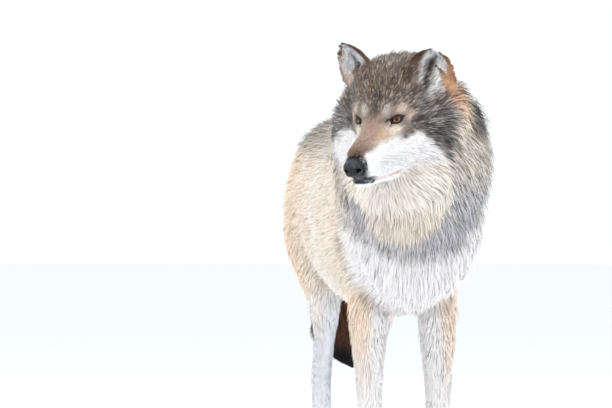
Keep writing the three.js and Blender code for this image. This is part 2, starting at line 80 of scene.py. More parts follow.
def node_middle(name):
    low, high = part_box(name)
    return (np.array(low) + np.array(high)) * 500.0


EYES = {1: node_middle("eye_left"), -1: node_middle("eye_right")}
OFFSET = (EYES[1] + EYES[-1]) / 2 - HEAD_AXES @ [0, EYE_BEHIND, 0] - HEAD_AT


def to_head(points):
    return (points - HEAD_AT) @ HEAD_AXES


def from_head(points):
    return np.asarray(points, float) @ HEAD_AXES.T + HEAD_AT


def step(x, low, high):
    """0 below low, 1 above high and smooth between; low may be the greater."""
    t = np.clip((x - low) / (high - low), 0, 1)
    return t * t * (3 - 2 * t)


def unit(v):
    return v / np.maximum(np.linalg.norm(v, axis=-1, keepdims=True), 1e-9)


def hump(points, centre, radii):
    """A soft bump of height 1 at the centre, fading out at the radii."""
    return np.exp(-(((points - centre) / radii) ** 2).sum(-1))


def waves(points, length, seed):
    """Smooth noise of about -1 to 1 from a few crossing waves."""
    rng = np.random.default_rng(seed)
    total = 0
    for _ in range(7):
        along = unit(rng.normal(size=3))
        total = total + np.sin(points @ along * (6.28 / length) * rng.uniform(0.6, 1.7) + rng.uniform(0, 6.28))
    return total / 2.6


# ---- meshes to and from arrays ----
def arrays_of(mesh):
    points = np.zeros(len(mesh.vertices) * 3)
    mesh.vertices.foreach_get("co", points)
    mesh.calc_loop_triangles()
    triangles = np.zeros(len(mesh.loop_triangles) * 3, np.int64)
    mesh.loop_triangles.foreach_get("vertices", triangles)
    return points.reshape(-1, 3), triangles.reshape(-1, 3)


def mesh_from(name, points_mm, faces):
    """A mesh object from body millimetres; faces is an array of triangles or of quads."""
    mesh = bpy.data.meshes.new(name)
    co = ((np.asarray(points_mm) + OFFSET) / 1000.0).astype(np.float32)
    faces = np.asarray(faces, np.int32)
    mesh.vertices.add(len(co))
    mesh.vertices.foreach_set("co", co.ravel())
    mesh.loops.add(faces.size)
    mesh.loops.foreach_set("vertex_index", faces.ravel())
    mesh.polygons.add(len(faces))
    sides = faces.shape[1]
    mesh.polygons.foreach_set("loop_start", np.arange(0, faces.size, sides, dtype=np.int32))
    mesh.polygons.foreach_set("use_smooth", np.ones(len(faces), bool))
    mesh.update(calc_edges=True)
    obj = bpy.data.objects.new(name, mesh)
    bpy.context.scene.collection.objects.link(obj)
    return obj


def paint(obj, colours):
    """Writes one linear colour per vertex, for the materials to read."""
    layer = obj.data.color_attributes.new("Coat", "FLOAT_COLOR", "POINT")
    rgba = np.ones((len(colours), 4), np.float32)
    rgba[:, :3] = np.clip(colours, 0, 1)
    layer.data.foreach_set("color", rgba.ravel())


def evaluated(obj):
    graph = bpy.context.evaluated_depsgraph_get()
    graph.update()
    mesh = bpy.data.meshes.new_from_object(obj.evaluated_get(graph))
    points, triangles = arrays_of(mesh)
    bpy.data.meshes.remove(mesh)
    return points * 1000.0 - OFFSET, triangles


def discard(obj):
    mesh = obj.data
    bpy.data.objects.remove(obj)
    bpy.data.meshes.remove(mesh)


class Surface:
    """A triangle surface with its edges, for smoothing values over it."""

    def __init__(self, points, triangles):
        self.points = points
        self.triangles = triangles
        pairs = np.concatenate([triangles[:, [0, 1]], triangles[:, [1, 2]], triangles[:, [2, 0]]])
        pairs = np.unique(np.sort(pairs, axis=1), axis=0)
        self.a = np.concatenate([pairs[:, 0], pairs[:, 1]])
        self.b = np.concatenate([pairs[:, 1], pairs[:, 0]])
        self.degree = np.maximum(np.bincount(self.a, minlength=len(points)), 1)

    def around(self, values):
        """The mean of each vertex's neighbours."""
        count = len(self.points)
        if values.ndim == 1:
            return np.bincount(self.a, values[self.b], count) / self.degree
        columns = [np.bincount(self.a, values[self.b, k], count) for k in range(values.shape[1])]
        return np.stack(columns, 1) / self.degree[:, None]

    def soften(self, values, rounds, amount=0.6):
        for _ in range(rounds):
            share = amount if np.isscalar(amount) else amount.reshape(-1, *[1] * (values.ndim - 1))
            values = values + share * (self.around(values) - values)
        return values

    def fair(self, values, rounds, amount):
        """Smooths small shapes away and keeps the large ones, and so the volume."""
        for _ in range(rounds):
            values = self.soften(values, 1, amount)
            values = self.soften(values, 1, -1.04 * amount)
        return values

    def normals(self):
        corners = self.points[self.triangles]
        face = np.cross(corners[:, 1] - corners[:, 0], corners[:, 2] - corners[:, 0])
        total = np.zeros_like(self.points)
        for k in range(3):
            for axis in range(3):
                total[:, axis] += np.bincount(self.triangles[:, k], face[:, axis], len(self.points))
        return unit(total)


# ---- the regions of the body, from the nodes of the frame ----
REGIONS = {
    "snout": ("muzzle", "lower_jaw", "nose"),
    "head": ("head", "eye_left", "eye_right"),
    "ear_left": ("ear_left",),
    "ear_right": ("ear_right",),
    "neck": ("neck",),
    "chest": ("trunk_front",),
    "trunk": ("trunk_middle",),
    "rump": ("trunk_rear",),
    "tail": ("tail_base", "tail_middle", "tail_tip"),
    "forearm": ("foreleg_upper_left", "foreleg_upper_right"),
    "pastern": ("foreleg_lower_left", "foreleg_lower_right"),
    "thigh": ("thigh_left", "thigh_right"),
    "shank": ("shank_left", "shank_right"),
    "cannon": ("hindleg_lower_left", "hindleg_lower_right"),
    "paw": ("forepaw_left", "forepaw_right", "hindpaw_left", "hindpaw_right"),
}
REGION_NAMES = list(REGIONS)
FLESH = [n for nodes in REGIONS.values() for n in nodes if not n.startswith(("eye_", "nose"))]


def joined_solids():
    points, triangles, count = [], [], 0
    for nodes in REGIONS.values():
        for node in nodes:
            p, t = arrays_of(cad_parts[node].data)
            points.append(p * 1000.0 - OFFSET)
            triangles.append(t + count)
            count += len(p)
    return np.concatenate(points), np.concatenate(triangles)


def remeshed(points, triangles):
    """One closed surface over all the solids, thinned out away from the head."""
    work = mesh_from("work", points, triangles)
    grain = work.modifiers.new("grain", "REMESH")
    grain.mode = "VOXEL"
    grain.voxel_size = VOXEL / 1000.0
    points, triangles = evaluated(work)
    discard(work)
    work = mesh_from("work", points, triangles)
    local = to_head(points)
    plain = step(local[:, 1], 60, 150)
    group = work.vertex_groups.new(name="plain")
    for level in range(1, 11):
        members = np.nonzero((plain * 10).round() == level)[0]
        if len(members):
            group.add(members.tolist(), level / 10, "REPLACE")
    thin = work.modifiers.new("thin", "DECIMATE")
    thin.ratio = min(1.0, SKIN_FACES / len(triangles))
    thin.vertex_group = "plain"
    thin.vertex_group_factor = 6.0
    points, triangles = evaluated(work)
    discard(work)
    return points, triangles


def region_weights(surface):
    """A column of weights per region, from the nearest solid, softened over the surface."""
    samples, labels = [], []
    rng = np.random.default_rng(3)
    for index, nodes in enumerate(REGIONS.values()):
        for node in nodes:
            p, t = arrays_of(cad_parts[node].data)
            p = p * 1000.0 - OFFSET
            corners = p[t]
            area = np.linalg.norm(np.cross(corners[:, 1] - corners[:, 0], corners[:, 2] - corners[:, 0]), axis=1)
            count = int(area.sum() / 2 / 40) + 50
            chosen = rng.choice(len(t), count, p=area / area.sum())
            mix = rng.dirichlet((1, 1, 1), count)
            samples.append((corners[chosen] * mix[:, :, None]).sum(1))
            labels.append(np.full(count, index))
    samples, labels = np.concatenate(samples), np.concatenate(labels)
    tree = kdtree.KDTree(len(samples))
    for i, p in enumerate(samples):
        tree.insert(p, i)
    tree.balance()
    nearest = np.array([tree.find(p)[1] for p in surface.points])
    weights = np.eye(len(REGION_NAMES))[labels[nearest]]
    return surface.soften(weights, 10)


def region(weights, *names):
    return sum(weights[:, REGION_NAMES.index(n)] for n in names)


# ---- depth of the coat ----
def coat_depth(points, weights):
    """How far the tips of the coat stand off the skin, in millimetres."""
    h = to_head(points)
    side = np.abs(h[:, 0])
    z = points[:, 2]
    face = np.interp(h[:, 1], [-130, -90, -50, -15, 25, 60, 100, 140], [1.5, 2.2, 3, 3.5, 5, 8, 13, 24])
    ruff = 26 * step(side, 46, 112) * step(h[:, 1], 12, 70) * step(h[:, 2], 40, -20)
    throat = 24 * step(h[:, 2], -72, -112) * step(h[:, 1], -40, 30)
    for s in SIDES:
        away = np.linalg.norm(points - (EYES[s] - OFFSET), axis=1)
        face = face * (0.35 + 0.65 * step(away, 15, 34))
    head = face + np.maximum(ruff, throat)
    forearm = np.interp(z, [180, 250, 340, 400, 455], [5, 6, 8, 14, 24])
    thigh = np.interp(z, [400, 470, 540, 600], [13, 19, 24, 27])
    shank = np.interp(z, [240, 300, 360, 405], [5, 6, 9, 13])
    tail = np.interp(z, [262, 300, 340, 430, 560, 650, 710], [2, 9, 20, 28, 27, 24, 20])
    by_region = {
        "snout": face, "head": head, "ear_left": 2.2, "ear_right": 2.2, "neck": 40.0, "chest": 32.0,
        "trunk": 29.0, "rump": 28.0, "tail": tail, "forearm": forearm, "pastern": 5.0, "thigh": thigh,
        "shank": shank, "cannon": 5.0, "paw": 4.0,
    }
    return sum(weights[:, i] * by_region[name] for i, name in enumerate(REGION_NAMES))


# ---- the lie of the hair ----
def hair_lie(points, normals, weights, surface):
    """The way the tips point, along the surface."""
    h = to_head(points)
    side = np.sign(h[:, 0]) * step(np.abs(h[:, 0]), 2, 30)
    from_nose = h - np.array([0, -150.0, -30.0])
    face = unit(from_nose * [1.0, 1.0, 1.1] + np.stack([side * 14, 0 * side, -16 + 0 * side], 1))
    down_ruff = step(h[:, 2], 10, -60) * step(h[:, 1], 0, 70)
    face = unit(face + down_ruff[:, None] * np.stack([side * 0.25, 0 * side, -0.9 + 0 * side], 1))
    head = face @ HEAD_AXES.T
    x = points[:, 0]
    out = np.sign(x) * step(np.abs(x), 5, 60)
    zero = 0 * x
    along_neck = np.array([0.22, 0.80, -0.56])
    neck = along_neck + np.stack([out * 0.15, zero, -0.45 + zero], 1)
    front = step(points[:, 1], -330, -430)
    chest = np.stack([out * 0.25, 0.8 - 0.75 * front, -0.35 - 0.6 * front], 1)
    trunk = np.stack([out * 0.10, 1 + zero, -0.22 + zero], 1)
    rump = np.stack([out * 0.10, 0.9 + zero, -0.45 + zero], 1)
    tail = np.stack([0.08 + zero, 0.10 + zero, -1 + zero], 1)
    tail[:, 1] += step(points[:, 2], 620, 700)
    leg = np.stack([zero, 0.25 + zero, -1 + zero], 1)
    thigh = np.stack([zero, 0.75 + zero, -0.8 + zero], 1)
    paw = np.stack([zero, -0.6 + zero, -0.6 + zero], 1)
    by_region = {
        "snout": head, "head": head, "neck": neck, "chest": chest, "trunk": trunk, "rump": rump, "tail": tail,
        "forearm": leg, "pastern": leg, "thigh": thigh, "shank": leg, "cannon": leg, "paw": paw,
    }
    for name, s in (("ear_left", 1), ("ear_right", -1)):
        across, up = ear_place(h, s)
        lean = s * (0.45 - 0.60 * np.clip(across, 0, 1))
        by_region[name] = np.stack([lean, 0.05 + zero, 0.92 + zero], 1) @ HEAD_AXES.T
    lie = sum(weights[:, i, None] * by_region[name] for i, name in enumerate(REGION_NAMES))
    for _ in range(4):
        lie = unit(lie - (lie * normals).sum(1, keepdims=True) * normals)
        lie = surface.soften(lie, 2)
    return unit(lie - (lie * normals).sum(1, keepdims=True) * normals)


# ---- markings ----
def shade(*rgb):
    """A colour given as the eye sees it (0 to 1 sRGB), in linear light."""
    c = np.array(rgb)
    return np.where(c <= 0.04045, c / 12.92, ((c + 0.055) / 1.055) ** 2.4)


WHITE = shade(0.97, 0.96, 0.95)
# White with a painted cool tint, for the bluish light that falls on the hind legs.
COOL_LIT_WHITE = shade(0.97, 0.975, 0.985)
CREAM = shade(0.97, 0.94, 0.89)
BEIGE = shade(0.92, 0.88, 0.82)
TAN = shade(0.93, 0.88, 0.82)
OCHRE = shade(0.96, 0.87, 0.77)
ORANGE = shade(0.86, 0.66, 0.51)
RUFOUS = shade(0.67, 0.57, 0.51)
RUST = shade(0.46, 0.31, 0.22)
GRIZZLE = shade(0.50, 0.44, 0.39)
UMBER = shade(0.45, 0.37, 0.31)
SLATE = shade(0.57, 0.58, 0.61)
ASH = shade(0.78, 0.78, 0.80)
FAWN = shade(0.84, 0.80, 0.77)
BLUSH = shade(0.88, 0.79, 0.73)
LIP = shade(0.21, 0.22, 0.25)
DARK = shade(0.24, 0.22, 0.21)
BLACK = shade(0.07, 0.07, 0.08)
BROWN = shade(0.36, 0.26, 0.19)


def blend(base, colour, mask):
    return base + (colour - base) * np.clip(mask, 0, 1)[:, None]


def plain(colour, like):
    return np.tile(colour, (len(like), 1))


def patched(colour, points, patches):
    """Lays soft spots over a colour; each is its place, reach, colour and strength."""
    for centre, reach, tint, strength in patches:
        spot = hump(points, np.array(centre, float), np.array(reach, float))
        colour = blend(colour, tint, strength * np.clip(1.35 * spot, 0, 1))
    return colour


HEAD_PATCHES = (  # in head axes, with x counted from the middle of the face
    ((0, 60, 60), (60, 70, 50), UMBER, 0.8),
    ((0, 12, 34), (7, 26, 20), DARK, 0.75), ((0, 75, 92), (34, 40, 14), BEIGE, 0.3),
    ((48, 12, 18), (16, 13, 8), BLUSH, 0.85), ((59, 20, -2), (8, 12, 9), BLUSH, 0.75),
    ((22, -4, 22), (8, 12, 13), FAWN, 0.7), ((38, -12, -17), (19, 15, 9), BEIGE, 0.9),
    ((24, -38, -16), (12, 18, 9), ORANGE, 0.45),
    ((70, 27, -11), (11, 16, 6), DARK, 0.9), ((84, 31, -27), (14, 16, 8), DARK, 0.8),
    ((99, 42, -47), (15, 18, 10), DARK, 0.75), ((112, 58, -70), (12, 18, 15), DARK, 0.6),
    ((33, -60, -60), (7, 22, 9), SLATE, 0.12), ((13, -106, -79), (9, 12, 3.6), LIP, 0.9),
    ((40, 70, 66), (12, 15, 11), BROWN, 0.9),
    ((44, 62, 58), (7, 9, 6), BLACK, 0.8), ((98, 70, 12), (14, 24, 22), BROWN, 0.6),
)
CHEEK_EDGE = {  # |x|, and z of the edge between grizzled brow and white cheek there, on each side
    1: ((0, 30, 50, 72, 90, 98, 110, 130), (-20, -28, -33, -31, -50, -78, -112, -140)),
    -1: ((0, 30, 50, 72, 90, 98, 110, 130), (-20, -26, -32, -24, -26, -32, -40, -70)),
}


def head_colours(h, normals):
    """The face: grizzled brow, pale rings and spots about the eyes, rufous bridge and white cheeks."""
    folded = h * [1, 1, 1]
    folded[:, 0] = np.abs(h[:, 0])
    hx, hy, hz = folded.T
    colour = plain(GRIZZLE, h)
    colour = blend(colour, SLATE, 0.5 * step(hx, 40, 80) * step(hz, 60, 0))
    edge = np.where(h[:, 0] > 0, np.interp(hx, *CHEEK_EDGE[1]), np.interp(hx, *CHEEK_EDGE[-1]))
    tip = 12 * step(hy, -86, -104) * step(hx, 22, 12)
    under = edge - tip + 3 * waves(h, 22, 21) - hz
    cheek = step(under, -6, 9) * step(hy, 120, 70)
    jowl = step(hz, -84, -118) * step(hy, -30, 10)
    side = blend(plain(WHITE, h), CREAM, jowl)
    side = blend(side, TAN, 0.45 * jowl * step(hx, 66, 104))
    side = blend(side, SLATE, 0.5 * step(hx, 96, 118) * step(hz, -70, -100))
    muzzle = step(hy, 6, -22)
    bridge = blend(plain(RUFOUS, h), BROWN, 0.6 * step(hy, -74, -112) * step(hx, 30, 10))
    bridge = blend(bridge, CREAM, 0.5 * step(hx, 14, 30) * step(hy, -104, -60))
    bridge = blend(bridge, BROWN, 0.35 * step(waves(h, 9, 22), 0.3, 1.2))
    colour = blend(colour, WHITE, muzzle * step(hz, -20, -34))
    rufous = step(hy + 5 * waves(h, 26, 23), -8, -34) * step(hz + 0.10 * (hy + 60) + tip, -34, -20)
    colour = colour + (bridge - colour) * rufous[:, None]
    colour = colour + (side - colour) * cheek[:, None]
    spotted = patched(colour, folded, HEAD_PATCHES)
    faint = 0.6 * step(h[:, 0], -20, -60) * step(hz, -18, -34) * step(hy, 5, 20)
    colour = blend(spotted, colour, faint)
    lips = to_path(folded, LOWER_LIP)
    colour = blend(colour, LIP, step(lips, 5.2, 3.4) * step(hy, -76, -90))
    line = to_path(folded, MOUTH)
    colour = blend(colour, BLACK, 0.9 * step(line, 4.5, 2) * step(hy, -66, -84))
    colour = blend(colour, ORANGE, 0.6 * step(line, 5, 2.5) * step(hy, -84, -66))
    colour = blend(colour, LIP, 0.8 * step(hy, -92, -112) * step(hx, 22, 14) * step(hz, -54, -62) * step(hz, -80, -74))
    # Painted shade: a dark ring round the front of the nose pad, as the shade about it.
    colour = blend(colour, LIP, 0.9 * step(nose_ring(h), 1.3, 1.1) * step(hy, -108, -113))
    for s in SIDES:
        gap, p, q, r = lid_gap(from_head(h), s)
        near = r < 26
        reach = lid_skin(p, q)
        colour = blend(colour, BLACK, near * step(gap, reach + 0.8, reach - 0.2))
    ear, inside = ear_colours(h, normals, 1)
    front = step(hz, 8, 24) * step(hy, 56, 70) * step(h[:, 0], 50, 60) * inside
    colour = colour + (ear - colour) * front[:, None]
    pale = np.clip(cheek + muzzle, 0, 1)
    band = 0.8 * (1 - pale) + 0.3 * jowl * step(hx, 60, 100)
    for s in SIDES:
        ring = np.linalg.norm(h - to_head(EYES[s] - OFFSET), axis=1)
        band = band * step(ring, 17, 34)
    return colour, band


EAR_INNER = {1: ((32, 78, 52), (36, 76, 92), (62, 92, 102), (88, 97, 97)),
             -1: ((32, 78, 52), (36, 76, 104), (70, 95, 114), (110, 100, 112))}
EAR_OUTER = {1: ((80, 120, -14), (140, 124, 22), (114, 109, 87), (88, 97, 97)),
             -1: ((80, 120, -14), (140, 124, 22), (116, 106, 86), (110, 100, 112))}


def bezier(corners, t):
    a, b, c, d = (np.array(k, float) for k in corners)
    t = t[:, None]
    return a * (1 - t) ** 3 + 3 * b * t * (1 - t) ** 2 + 3 * c * t * t * (1 - t) + d * t ** 3


def ear_place(h, side):
    """Across the ear, 0 at its inner edge and 1 at its outer one, and up it from 0 to 1."""
    t = np.linspace(0.02, 0.95, 24)
    inner, outer = bezier(EAR_INNER[side], t), bezier(EAR_OUTER[side], t)
    chord = outer - inner
    away = (h * [side, 1, 1])[:, None, :] - inner[None]
    across = (away * chord).sum(-1) / (chord ** 2).sum(-1)
    off = np.linalg.norm(away - across[..., None] * chord, axis=-1)
    best = off.argmin(1)
    rows = np.arange(len(h))
    return across[rows, best], t[best]


def ear_slit_shadow(across, up, side):
    """The shadowed depth of the ear, between the hairs of its two edges."""
    width = 0.11 if side > 0 else 0.06
    place = 0.34 + 0.26 * up if side > 0 else 0.54 - 0.10 * up
    return np.exp(-(((across - place) / width) ** 2)) * step(up, 0.68, 0.5) * step(up, 0.02, 0.12)


def ear_colours(h, normals, side):
    """Rufous backs and rims, and cups of pale hair with a painted shadow in their slit."""
    across, up = ear_place(h, side)
    turn = math.radians(40) + math.radians(80) * (0.5 - np.clip(across, 0, 1))
    opens = np.stack([side * np.sin(turn), -np.cos(turn), 0 * turn], 1)
    facing = ((normals @ HEAD_AXES) * opens).sum(1)
    colour = blend(plain(RUST, h), RUFOUS, 0.5 * step(up, 0.5, 0.1))
    edge = ORANGE if side > 0 else BLUSH
    colour = blend(colour, edge, 0.85 * step(across, 0.62, 0.8) * step(up, 0.85, 0.4))
    colour = blend(colour, DARK, 0.45 * step(across, 0.22, 0.05) + 0.35 * step(waves(h, 12, 32), 0.1, 0.9))
    colour = blend(colour, BROWN, 0.35 * step(waves(h * [1, 1, 0.4], 5, 33), 0.1, 1.0))
    cup = blend(plain(WHITE, h), SLATE, 0.45 * step(waves(h, 9, 31), -0.2, 0.8))
    cup = blend(cup, TAN, 0.5 * step(across, 0.66, 0.82))
    # Painted shadow: the slit is dark as the shade in the depth of the ear.
    cup = blend(cup, shade(0.12, 0.09, 0.10) if side > 0 else SLATE, ear_slit_shadow(across, up, side))
    rim = 0.84 if side > 0 else 0.95
    inside = step(facing, -0.35, 0.1) * step(across, 0.19, 0.27) * step(across, rim, rim - 0.08) * step(up, 0.93, 0.84)
    return colour + (cup - colour) * inside[:, None], inside


def neck_colours(points, normals):
    """Beige sides with a dark mane, a pale throat, a tan bib, a slate collar round it and a white chest."""
    x, y, z = points.T
    colour = blend(plain(BEIGE, points), GRIZZLE, 0.18 + 0.25 * waves(points, 60, 41))
    colour = blend(colour, DARK, 0.55 * step(normals[:, 2], 0.2, 0.85))
    colour = patched(colour, points, (
        ((47, -584, 838), (22, 34, 26), ORANGE, 0.9), ((56, -570, 806), (20, 34, 24), ORANGE, 0.8),
        ((70, -562, 776), (20, 30, 22), OCHRE, 0.75), ((-130, -470, 800), (26, 40, 30), ORANGE, 0.5),
        ((101, -500, 778), (28, 62, 46), BLACK, 1.0), ((-60, -440, 850), (60, 50, 30), DARK, 0.6),
    ))
    front = step(normals[:, 1], 0.35, -0.2)
    inner = np.hypot((x + 38) / 88, (z - 630) / 97) + 0.035 * waves(points, 26, 42)
    outer = np.hypot((x + 5) / 135, (z - 640) / 131) + 0.03 * waves(points, 22, 43)
    throat = blend(plain(CREAM, points), TAN, 0.95 * step(z, 618, 580) * step(inner, 0.2, 0.6))
    throat = blend(throat, SLATE, 0.16 * step(waves(points, 34, 44), 0.1, 0.9))
    colour = colour + (throat - colour) * (step(inner, 1.02, 0.92) * front)[:, None]
    ring = step(inner, 0.92, 1.04) * step(outer, 1.06, 0.97) * front * step(z, 715, 635)
    collar = blend(plain(ASH, points), DARK, 0.04 + 0.20 * waves(points, 18, 45))
    collar = blend(collar, BEIGE, 0.55 * step(z, 600, 690) + 0.3 * step(waves(points, 30, 46), 0.2, 1))
    colour = colour + (collar - colour) * (0.9 * ring)[:, None]
    chest = step(outer, 0.98, 1.07) * step(z, 610, 560) * step(normals[:, 1], 0.5, 0.0) * step(y, -255, -310)
    colour = blend(colour, WHITE, chest)
    mane = hump(points, np.array([101, -500, 778]), np.array([32, 66, 50]))
    band = (0.5 - 0.38 * step(inner, 1.02, 0.92) * front) * (1 - chest) * (1 - np.clip(1.3 * mane, 0, 1))
    return colour, band, chest


def trunk_colours(points, normals):
    """Cream flanks crossed by soft ochre bands, under a grizzled back."""
    x, y, z = points.T
    colour = blend(plain(CREAM, points), BEIGE, 0.5 + 0.4 * waves(points, 70, 51))
    wave = 10 * np.sin(z / 41) + 6 * waves(points, 40, 52)
    fade = step(z, 760, 690) * step(z, 400, 470)
    for place, width, tint, strength in (
            (-196, 18, OCHRE, 0.6), (-150, 14, CREAM, 0.5), (-105, 26, OCHRE, 0.55),
            (-20, 24, OCHRE, 0.40), (60, 26, CREAM, 0.6), (150, 34, OCHRE, 0.60), (262, 46, OCHRE, 0.85),
            (350, 60, OCHRE, 0.9)):
        colour = blend(colour, tint, strength * fade * np.exp(-(((y - place - wave) / width) ** 2)))
    fold = np.exp(-(((y + 236 - wave) / 13) ** 2)) * step(x, -40, -90)
    colour = blend(colour, BROWN, 0.7 * fade * fold)
    colour = blend(colour, GRIZZLE, 0.72 * step(z, 668, 775))
    colour = blend(colour, DARK, 0.50 * step(z, 768, 800))
    colour = blend(colour, CREAM, 0.8 * step(normals[:, 2], -0.3, -0.8))
    return colour, 0.06 + 0.50 * step(z, 670, 785)


def leg_colours(points, normals):
    """Forelegs ochre outside above, white inside and below, with a short dark streak in front."""
    x, y, z = points.T
    out = np.sign(x) * normals[:, 0]
    fore = blend(plain(WHITE, points), OCHRE, 0.9 * step(out, -0.25, 0.45) * step(z, 225, 400))
    fore = blend(fore, GRIZZLE, 0.30 * hump(np.stack([np.abs(x) - 84, z - 430], 1), [0, 0], [14, 26]))
    streak = hump(np.stack([np.abs(x) - 70 + 2 * np.sin(z / 5), z], 1), [0, 288], [2.2, 15])
    fore = blend(fore, DARK, 0.4 * streak * step(normals[:, 1], 0, -0.5))
    thigh = blend(plain(BEIGE, points), OCHRE, 0.9 * step(y, 250, 330))
    thigh = blend(thigh, WHITE, 0.9 * step(z, 455, 385))
    thigh = blend(thigh, WHITE, 0.85 * step(out, 0.15, -0.35))
    # The shank's white carries the painted cool tint of the light on the hind legs.
    shank = blend(plain(COOL_LIT_WHITE, points), OCHRE, 0.45 * step(out, 0.1, 0.7) * step(z, 290, 400))
    return fore, thigh, shank


def tail_colours(points, normals):
    x, y, z = points.T
    colour = blend(plain(RUST * 0.8, points), GRIZZLE, step(z, 480, 650))
    colour = blend(colour, BEIGE, 0.5 * step(z, 560, 640) * step(np.abs(normals[:, 0]), 0.3, 0.8))
    colour = blend(colour, BLACK, 0.85 * step(normals[:, 0], 0.2, -0.6) * step(z, 420, 350))
    return blend(colour, BLACK, step(z, 330, 290))


def markings(points, normals, weights):
    """The colour of the coat at each point, how strongly its hairs are banded, and the ears' cups."""
    h = to_head(points)
    head, head_band = head_colours(h, normals)
    neck, neck_band, chest = neck_colours(points, normals)
    trunk, trunk_band = trunk_colours(points, normals)
    behind = step(points[:, 1], -330, -250) * (1 - 0.9 * chest)
    front = neck + (trunk - neck) * behind[:, None]
    fore, thigh, shank = leg_colours(points, normals)
    # The hind legs' white carries the painted cool tint of the light on them.
    low = blend(plain(WHITE, points), COOL_LIT_WHITE, step(points[:, 1], 0, 100))
    ears = {s: ear_colours(h, normals, s) for s in SIDES}
    by_region = {
        "snout": head, "head": head, "ear_left": ears[1][0], "ear_right": ears[-1][0], "neck": neck,
        "chest": front, "trunk": trunk, "rump": trunk, "tail": tail_colours(points, normals), "forearm": fore,
        "pastern": low, "thigh": thigh, "shank": shank, "cannon": low, "paw": low,
    }
    colour = sum(weights[:, i, None] * by_region[name] for i, name in enumerate(REGION_NAMES))
    banded = {
        "snout": head_band, "head": head_band, "neck": neck_band, "trunk": trunk_band, "rump": trunk_band,
        "chest": neck_band + (trunk_band - neck_band) * behind, "tail": 0.15 + 0.3 * step(points[:, 2], 450, 580),
    }
    band = sum(weights[:, i] * banded.get(name, 0.0) for i, name in enumerate(REGION_NAMES))
    cup = sum(region(weights, name) * ears[s][1] for name, s in (("ear_left", 1), ("ear_right", -1)))
    return colour, band, cup


# ---- the skin ----
MOUTH = np.array([[0, -120, -69], [12, -114, -71], [20, -98, -77], [23, -79, -85], [26, -50, -95], [36, -20, -95.0]])
LOWER_LIP = np.array([[0, -118, -77], [11, -111, -80], [18, -92, -86.0]])
NOSE_MIDDLE = np.array([-2.0, -126, -47.2])


def nose_ring(h):
    """1 on the outline of the nose pad as seen from ahead, less inside it."""
    return np.hypot((h[:, 0] - NOSE_MIDDLE[0]) / 19.5, (h[:, 2] - NOSE_MIDDLE[2]) / 17.5)


def to_path(points, path):
    """Distance of each point from a path of joined points."""
    best = np.full(len(points), 1e9)
    for a, b in zip(path[:-1], path[1:]):
        along = np.clip(((points - a) @ (b - a)) / ((b - a) @ (b - a)), 0, 1)
        best = np.minimum(best, np.linalg.norm(points - a - along[:, None] * (b - a), axis=1))
    return best


def sculpt_head(surface):
    """Brows, cheekbones, lips and the line of the mouth, pushed out of or into the skin."""
    h = to_head(surface.points)
    folded = h * [1, 1, 1]
    folded[:, 0] = np.abs(folded[:, 0])
    shapes = (
        # where (|x|, y, z), reach, height: brow, cheekbone, stop, lip, temple, forehead, snout's side, chin
        ((36, 4, 21), (18, 15, 8), 4.5), ((52, 8, -26), (18, 22, 14), 3.0), ((0, -8, 12), (10, 20, 14), -2.5),
        ((22, -92, -54), (12, 26, 15), 3.0), ((64, 34, 24), (18, 24, 16), -3.0), ((0, 44, 62), (7, 42, 22), -2.5),
        ((25, -44, -13), (9, 27, 13), -4.0), ((0, -100, -88), (14, 14, 8), 2.5),
    )
    push = sum(height * hump(folded, np.array(at, float), np.array(size, float)) for at, size, height in shapes)
    groove = np.exp(-((to_path(folded, MOUTH) / 2.8) ** 2))
    surface.points = surface.points + (push - 3.4 * groove)[:, None] * surface.normals()


ALMOND_OUT = 13.2  # length of the opening between the lids, along the ball, to its outer corner
ALMOND_IN = 15.2  # and to the corner by the nose
ALMOND_UP = 6.3
ALMOND_DOWN = 5.3
ALMOND_SLANT = math.radians(5)
LID = 1.5  # thickness of the lids over the ball


def eye_axes(side):
    """Rows: from inner to outer corner, up across the opening, and straight out of the eye; in body axes."""
    out = unit(np.array([side * math.sin(EYE_OUTWARD), -math.cos(EYE_OUTWARD), 0.06]))
    across = np.array([side * math.cos(EYE_OUTWARD), math.sin(EYE_OUTWARD), 0])
    up = np.cross(out, across)
    up *= np.sign(up[2])
    slanted = math.cos(ALMOND_SLANT) * across + math.sin(ALMOND_SLANT) * up
    rise = -math.sin(ALMOND_SLANT) * across + math.cos(ALMOND_SLANT) * up
    return np.stack([slanted, rise, out]) @ HEAD_AXES.T


def on_ball(side, p, q, radius):
    """Points over the eyeball, p along the opening and q up it, both measured along the ball."""
    angle = np.hypot(p, q) / EYE_RADIUS
    spread = np.sinc(angle / np.pi) / EYE_RADIUS
    local = np.stack([p * spread, q * spread, np.cos(angle)], -1)
    return EYES[side] - OFFSET + np.asarray(radius)[..., None] * (local @ eye_axes(side))


def almond_reach(p):
    return np.where(p < 0, ALMOND_IN, ALMOND_OUT)


def almond_height(p, tall):
    return tall * np.clip(1 - (np.abs(p) / almond_reach(p)) ** 2.1, 0, 1) ** np.where(p < 0, 1.15, 0.85)


def lid_gap(points, side):
    """How far outside the opening each point lies, its place p, q along the ball, and its distance."""
    v = points - (EYES[side] - OFFSET)
    r = np.linalg.norm(v, axis=1)
    local = unit(v) @ eye_axes(side).T
    angle = np.arccos(np.clip(local[:, 2], -1, 1))
    p, q = (local[:, :2] / np.maximum(np.sin(angle), 1e-3)[:, None] * (angle * EYE_RADIUS)[:, None]).T
    gap = np.maximum(q - almond_height(p, ALMOND_UP), -almond_height(p, ALMOND_DOWN) - q)
    past = np.abs(p) - almond_reach(p)
    gap = np.where(past > 0, np.hypot(past, q), gap)
    return gap, p, q, r


def lid_skin(p, q):
    """How far the bare dark skin reaches from the opening, widest at its two corners."""
    inner = 2.8 * np.exp(-(((p + 17.5) / 3.6) ** 2) - ((q + 2.0) / 2.6) ** 2)
    outer = 1.5 * np.exp(-(((p - 14.5) / 2.5) ** 2) - (q / 2.5) ** 2)
    return 1.3 + inner + outer + 0.6 * step(q, 0, -3)


